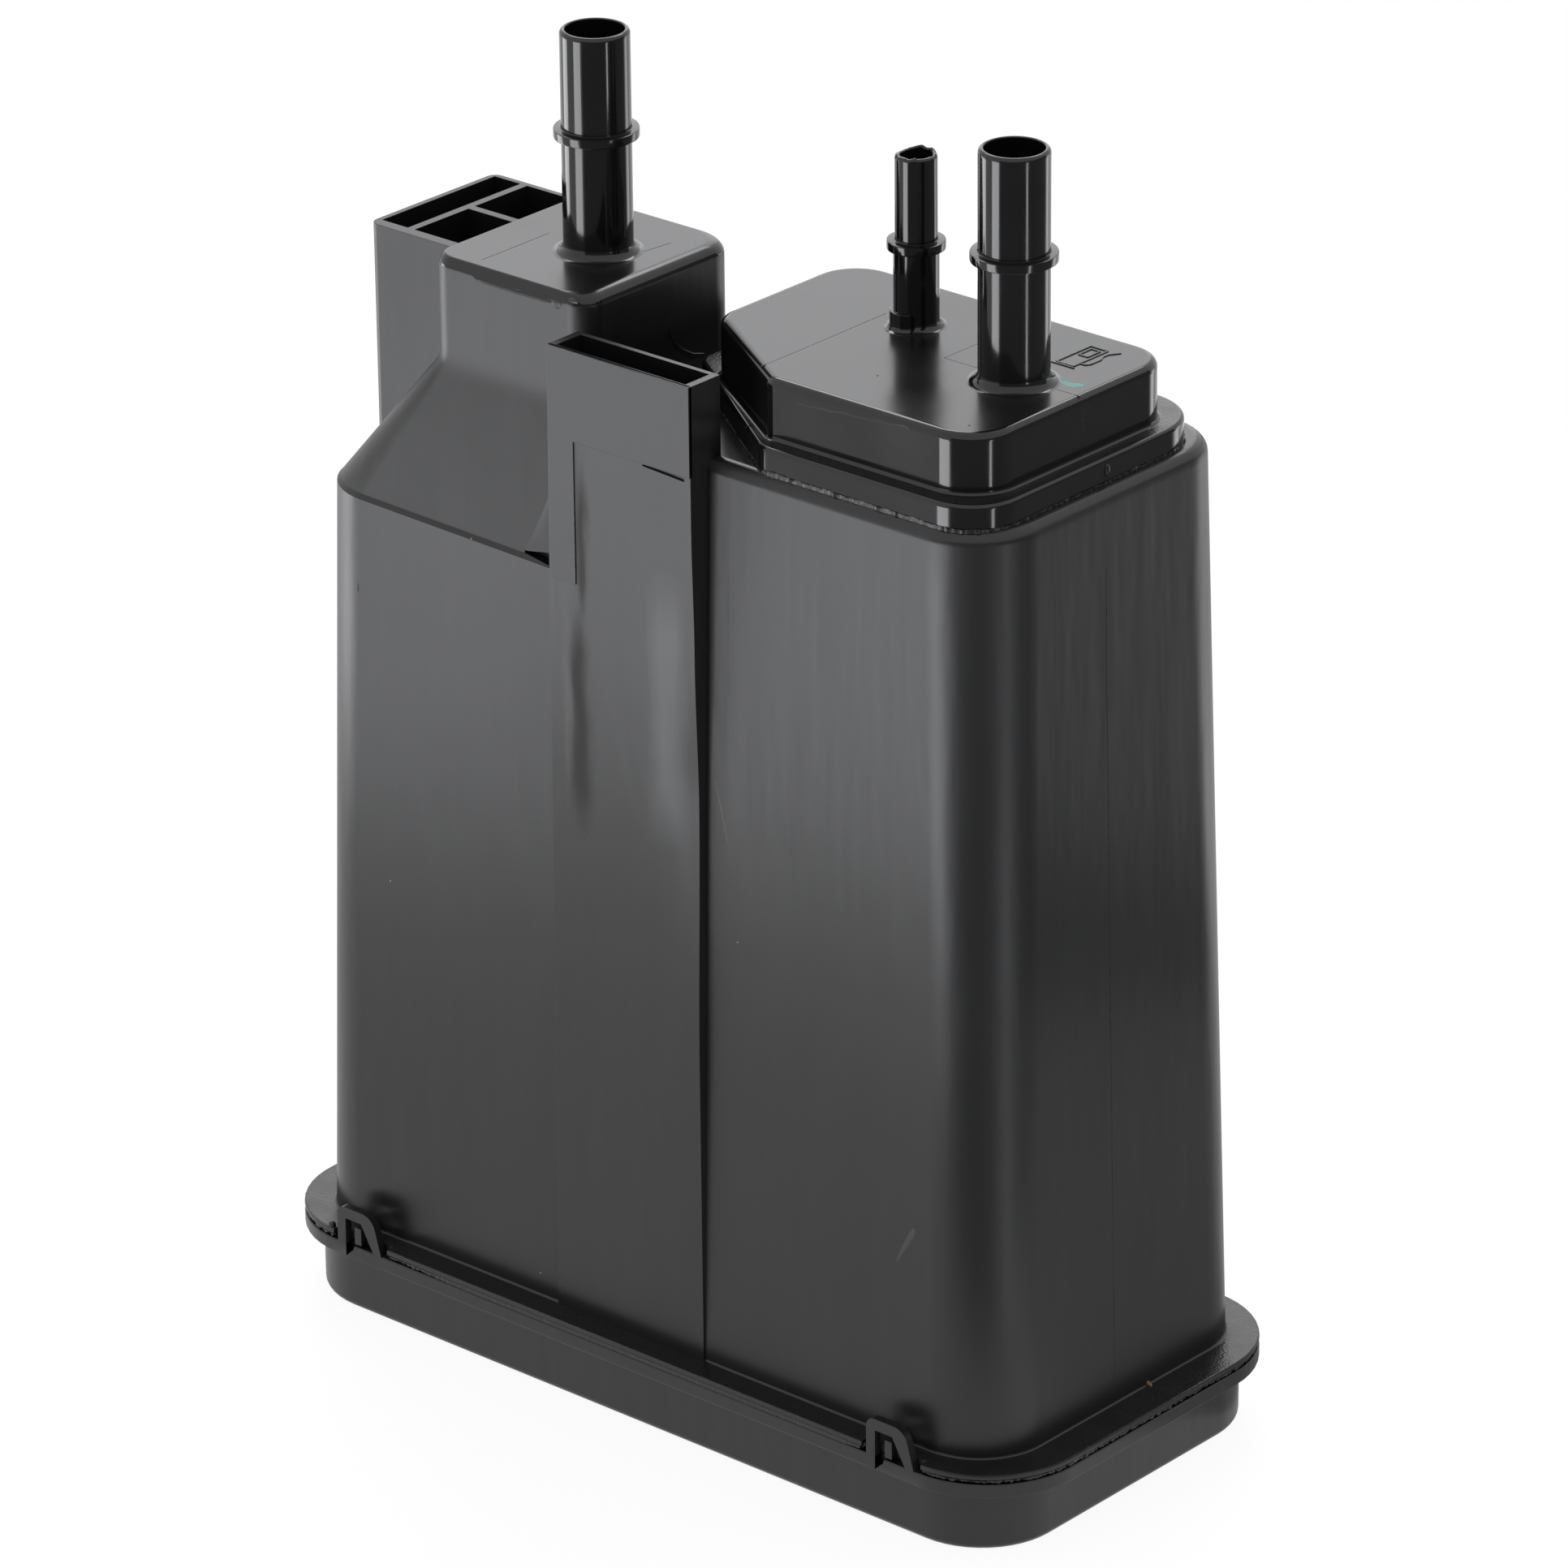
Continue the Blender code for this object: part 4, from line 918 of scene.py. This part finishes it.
def add_cap_marks():
    """Parting lines, a plain filling-pump outline, a dab of paint and small wear on the cap."""
    for path in (
        ((27.3, -32.3), (27.4, -20), (27.3, -6), (27.2, 9.7)),
        ((54.5, -3.0), (54.6, 6), (54.5, 15.0)),
        ((54.5, -3.0), (60, -3.1), (66.5, -3.0)),
        ((92.0, -1.9), (86, -2.0), (84.0, -2.0)),
    ):
        strip(cap, at(path, CAP_TOP), UP, 0.2, 0.035, FLASH)
    pump = ((74.6, 10.8), (79.4, 10.8), (79.4, 22.6), (74.6, 22.6), (74.6, 10.8))
    window = ((75.8, 17.0), (78.3, 17.0), (78.3, 21.3), (75.8, 21.3), (75.8, 17.0))
    foot = ((73.8, 10.0), (80.2, 10.0))
    hose = ((79.4, 13.0), (80.9, 13.0), (81.5, 14.0), (81.6, 17.4), (80.8, 19.2), (80.9, 21.0), (82.4, 23.4))
    for path in (pump, window, foot, hose):
        for ends in zip(path, path[1:]):
            strip(cap, at(ends, CAP_TOP), UP, 0.6, 0.2, FLASH)
    dab = ((82.1, 2.8), (83.6, 2.3), (85.6, 2.0), (87.0, 2.6), (88.2, 3.4))
    strip(cap, at(dab, CAP_TOP), UP, (0.8, 2.2, 3.3, 3.5, 1.8), 0.05, TEAL)
    strip(cap, [(CAP_WALL[1], -1.8, z) for z in (246.9, 251, 256.5)], RIGHT, 0.18, 0.03, FLASH)
    strip(cap, at(((25.0, -35.4), (24.9, -32.4)), CAP_LEDGE), UP, 0.25, 0.05, FLASH)
    for x, y in ((50.3, -20.4), (84.3, -30.2)):
        blob(cap, (x, y, CAP_TOP), (0.28, 0.28, 0.1), FLASH, 6, 8)
    reach = range(41, 74, 2)
    scuff = [(x, CAP_WALL[2], 256.2 + 0.075 * (x - 41) + 0.5 * wobble(x, 0, 11, 0.5)) for x in reach]
    strip(cap, scuff, FRONT, [0.25 + 0.7 * abs(wobble(x, 3, 12, 0.6)) for x in reach], 0.03, TOP)
    blob(cap, (CAP_FLANGE[1], 1.4, 243.2), (0.5, 0.9, 1.5), FLASH)
    # Crumbs on the narrow stub's torn rim
    rim = 4.05
    for degrees, size in ((20, 0.55), (240, 0.45), (306, 0.28)):
        angle = math.radians(degrees)
        x, y = PURGE.x + rim * math.cos(angle), PURGE.y + rim * math.sin(angle)
        z = PURGE.base + PURGE.height - 0.35 + 0.5 * torn(degrees)
        blob(cap, (x, y, z), (size, size, 0.6 * size), FLASH, 8, 12)


add_cap()
weld_bead(cap, cap_flange(), upper_weld, 0.4, FLASH)
add_boss()
add_pipe(cap, TANK)
add_pipe(cap, PURGE, True)
add_cap_marks()
cap.make("port_cap")


# Bottom cover

cover = Piece("bottom_cover_moulding")


def add_cover():
    """The tray with its rounded lower edge and the outer band of the weld, slotted under the snap loops."""
    profile = [(inset, drop) for inset, drop in arc_steps(1.8, 8)][::-1]
    profile += [(0.0, BAND_BOTTOM - 0.6), (-0.15, BAND_BOTTOM - 0.15), (-0.6, BAND_BOTTOM)]
    rings = [at(centred(COVER_X, COVER_Y, COVER_CORNER, inset), z) for inset, z in profile]
    rings += [band_ring(z, inset) for inset, z in (
        (0.35, BAND_BOTTOM), (0.1, BAND_BOTTOM + 0.1), (0.0, BAND_BOTTOM + 0.35),
        (0.0, BAND_TOP - 0.25), (0.25, BAND_TOP),
    )]
    gaps = []
    for x, side in LOOPS:
        left = x - LOOP_HALF + LOOP_BAR
        section = (
            (left, BAND_BOTTOM + 0.25), (left + 2.2, BAND_TOP - 1.4),
            (left + 3.0, BAND_TOP + 1), (left, BAND_TOP + 1),
        )
        gaps.append(helper_section_y("gap", section, *band_depth(side, 2.4, -1)))
    cover.solid(cut(helper("cover", rings), gaps), SATIN)


def add_snap_loop(x, side):
    """A loop with one upright and one slanting leg, flush with the band, whose window runs down into it."""
    left, right = x - LOOP_HALF, x + LOOP_HALF
    foot, head, bar = BAND_TOP - 3.2, BAND_TOP + 9.4, LOOP_BAR
    corners = ((left, foot), (right, foot), (right, foot + 1.0), (left + 11.2, head), (left, head))
    front, back = band_depth(side, 2.0, 0.03)
    loop = helper_section_y("loop", rounded(corners, (0.2, 0.2, 0.6, 4.2, 2.4), 7), front, back)
    window = (
        (left + bar, BAND_BOTTOM + 0.2), (left + bar + 1.9, BAND_TOP - 1.3),
        (right - bar - 0.3, BAND_TOP - 0.3), (left + 10.2 - bar, head - 2.8), (left + bar, head - 2.8),
    )
    cut(loop, (helper_section_y("window", window, front - 1, back + 1),))
    cover.solid(bevelled(loop, 0.3), SATIN)


add_cover()
for loop_x, loop_side in LOOPS:
    add_snap_loop(loop_x, loop_side)
cover.make("bottom_cover")


# What the housing holds

inner_looks = {
    "carbon": carbon_granules(),
    "fleece": felt("fleece_fibres", (0.6, 0.6, 0.56), 1200),
    "foam": felt("foam_cells", (0.15, 0.15, 0.16), 700),
    "grid": grid_nylon(),
    "spring": spring_steel(),
}
slots = {part["node"]: part["material_slot"] for part in frame["record"]["subparts"]}
for node_name, node in frame["nodes"].items():
    look = inner_looks.get(slots[node_name])
    if look:
        node.data.materials.clear()
        node.data.materials.append(look)


# Floor and world

def floor_material():
    """Near white to the camera and in reflections, and lit as a white card elsewhere."""
    made = bpy.data.materials.new("floor_white")
    tree = Tree(made, empty=True)
    white = tree.add("ShaderNodeBsdfDiffuse", {"Color": (0.9, 0.9, 0.9)})
    glow = tree.add("ShaderNodeEmission", {"Strength": 1.25})
    glow_share = tree.combine("MULTIPLY", tree.seen_rays(), 0.72)
    mix = tree.add("ShaderNodeMixShader", {"Fac": glow_share, 1: white.outputs[0], 2: glow.outputs[0]})
    tree.surface(mix)
    return made


def stage_mesh(name, points, faces, material):
    mesh = bpy.data.meshes.new(name)
    mesh.from_pydata(points, [], faces)
    mesh.materials.append(material)
    obj = linked(name, mesh)
    return obj


# The table's edges, in metres, before it is turned
TABLE_FRONT, TABLE_BACK, TABLE_LEFT, TABLE_RIGHT = 0.205, -1.9, -0.372, 0.345
TABLE_TURN = math.radians(-37.0)
half_x, half_y = (TABLE_FRONT - TABLE_BACK) / 2, (TABLE_RIGHT - TABLE_LEFT) / 2
table = stage_mesh(
    "floor", [(-half_x, -half_y, 0), (half_x, -half_y, 0), (half_x, half_y, 0), (-half_x, half_y, 0)],
    [(0, 1, 2, 3)], floor_material(),
)
table.matrix_world = Matrix.Rotation(TABLE_TURN, 4, "Z") @ Matrix.Translation(
    ((TABLE_FRONT + TABLE_BACK) / 2, (TABLE_LEFT + TABLE_RIGHT) / 2, 0.0)
)

# White to the camera and in reflections, and a weaker light on everything else
world = bpy.data.worlds.new("studio")
bpy.context.scene.world = world
sky = Tree(world)
sky.feed(sky.nodes["Background"], "Color", (1, 1, 1))
sky.feed(sky.nodes["Background"], "Strength", sky.ramp(sky.seen_rays(), 0.45, 1.0, 0.0, 1.0))


# Lamps and cards, in metres

LAMP_COLOUR = (0.975, 0.985, 1.02)
MIDDLE, UPPER = (0, 0, 0.15), (0, 0, 0.25)


def softbox(name, place, target, width, height, radiance):
    """A soft lamp whose face has the given brightness, where 1 is a white card's."""
    lamp = bpy.data.lights.new(name, "AREA")
    lamp.shape = "RECTANGLE"
    lamp.size, lamp.size_y = width, height
    lamp.energy = radiance * math.pi * width * height
    lamp.color = LAMP_COLOUR
    obj = linked(name, lamp)
    place, target = Vector(place), Vector(target)
    turn = (target - place).to_track_quat("-Z", "Y").to_matrix().to_4x4()
    obj.matrix_world = Matrix.Translation(place) @ turn
    obj.visible_camera = False


def bearing(degrees, reach, height=0.0):
    """A point at a bearing from the front (-Y), positive towards the tank end (+X)."""
    angle = math.radians(degrees)
    return reach * math.sin(angle), -reach * math.cos(angle), height


def reflected(name, points, faces, grey):
    """A black or grey card of the studio that only reflections see."""
    made = bpy.data.materials.new(name)
    tree = Tree(made, empty=True)
    tree.surface(tree.add("ShaderNodeEmission", {"Strength": grey}))
    obj = stage_mesh(name, points, faces, made)
    obj.visible_camera = obj.visible_diffuse = obj.visible_shadow = obj.visible_transmission = False


def screen(name, start, end, reach, low, high, grey):
    """A curved screen beside the part, from one bearing to another."""
    steps, points = 24, []
    for i in range(steps + 1):
        degrees = start + (end - start) * i / steps
        points += [bearing(degrees, reach, low), bearing(degrees, reach, high)]
    reflected(name, points, [(i, i + 2, i + 3, i + 1) for i in range(0, 2 * steps, 2)], grey)


def card(name, near, far, grey):
    """A card on the table at the tank end, between two distances."""
    shift, lift = 0.06, 0.0006
    corners = [bearing(*corner) for corner in ((100, near), (100, far), (158, far), (158, near))]
    reflected(name, [(x + shift, y, lift) for x, y, _ in corners], [(0, 1, 2, 3)], grey)


softbox("key_front_left", bearing(-20, 2.0, -0.72), MIDDLE, 0.92, 1.5, 5.6)
softbox("fill_left", bearing(-72, 2.0, -0.72), MIDDLE, 0.85, 1.5, 4.5)
softbox("strip_right", bearing(80, 1.4, -0.3), (0.07, 0, 0.15), 0.12, 1.6, 6.0)
softbox("back_right", bearing(161, 1.4, -0.4), MIDDLE, 0.34, 1.4, 2.0)
softbox("back_left", (-0.85, 0.95, 0.75), UPPER, 0.9, 0.7, 0.85)
softbox("back_left_high", bearing(-139, 0.95, 1.3), UPPER, 0.9, 0.35, 2.4)
screen("dark_front_right", -3, 150, 1.6, -1.3, 0.9, 0.21)
screen("grey_front_left", -60, -36, 2.2, -1.8, 0.3, 0.9)
screen("edge_light", -168, -116, 1.0, 1.04, 1.3, 6.0)
card("grey_card", 0.075, 0.345, 0.5)
card("dark_card", 0.345, 0.4, 0.02)


# Camera: its turn was worked out from the photo's edges, and its place is given along its own axes in mm

AZIMUTH, ELEVATION, ROLL = math.radians(41.25), math.radians(23.91), math.radians(-0.55)
FOCAL_PIXELS, PHOTO_WIDTH, SENSOR = 10690, 1932, 36.0
SHIFT_RIGHT, SHIFT_UP, DISTANCE = 2.09, 130.2, 2022.2
back_axis = Vector((
    math.sin(AZIMUTH) * math.cos(ELEVATION),
    -math.cos(AZIMUTH) * math.cos(ELEVATION),
    math.sin(ELEVATION),
))
level_axis = Vector((math.cos(AZIMUTH), math.sin(AZIMUTH), 0))
level_up = back_axis.cross(level_axis)
right_axis = math.cos(ROLL) * level_axis + math.sin(ROLL) * level_up
up_axis = -math.sin(ROLL) * level_axis + math.cos(ROLL) * level_up
camera_data = bpy.data.cameras.new("camera")
camera_data.sensor_width = SENSOR
camera_data.lens = SENSOR * FOCAL_PIXELS / PHOTO_WIDTH
camera = linked("camera", camera_data)
camera_place = (SHIFT_RIGHT * right_axis + SHIFT_UP * up_axis + DISTANCE * back_axis) * MM
axes = Matrix((right_axis, up_axis, back_axis)).transposed().to_4x4()
camera.matrix_world = Matrix.Translation(camera_place) @ axes
bpy.context.scene.camera = camera

bpy.context.scene.view_settings.view_transform = "Standard"
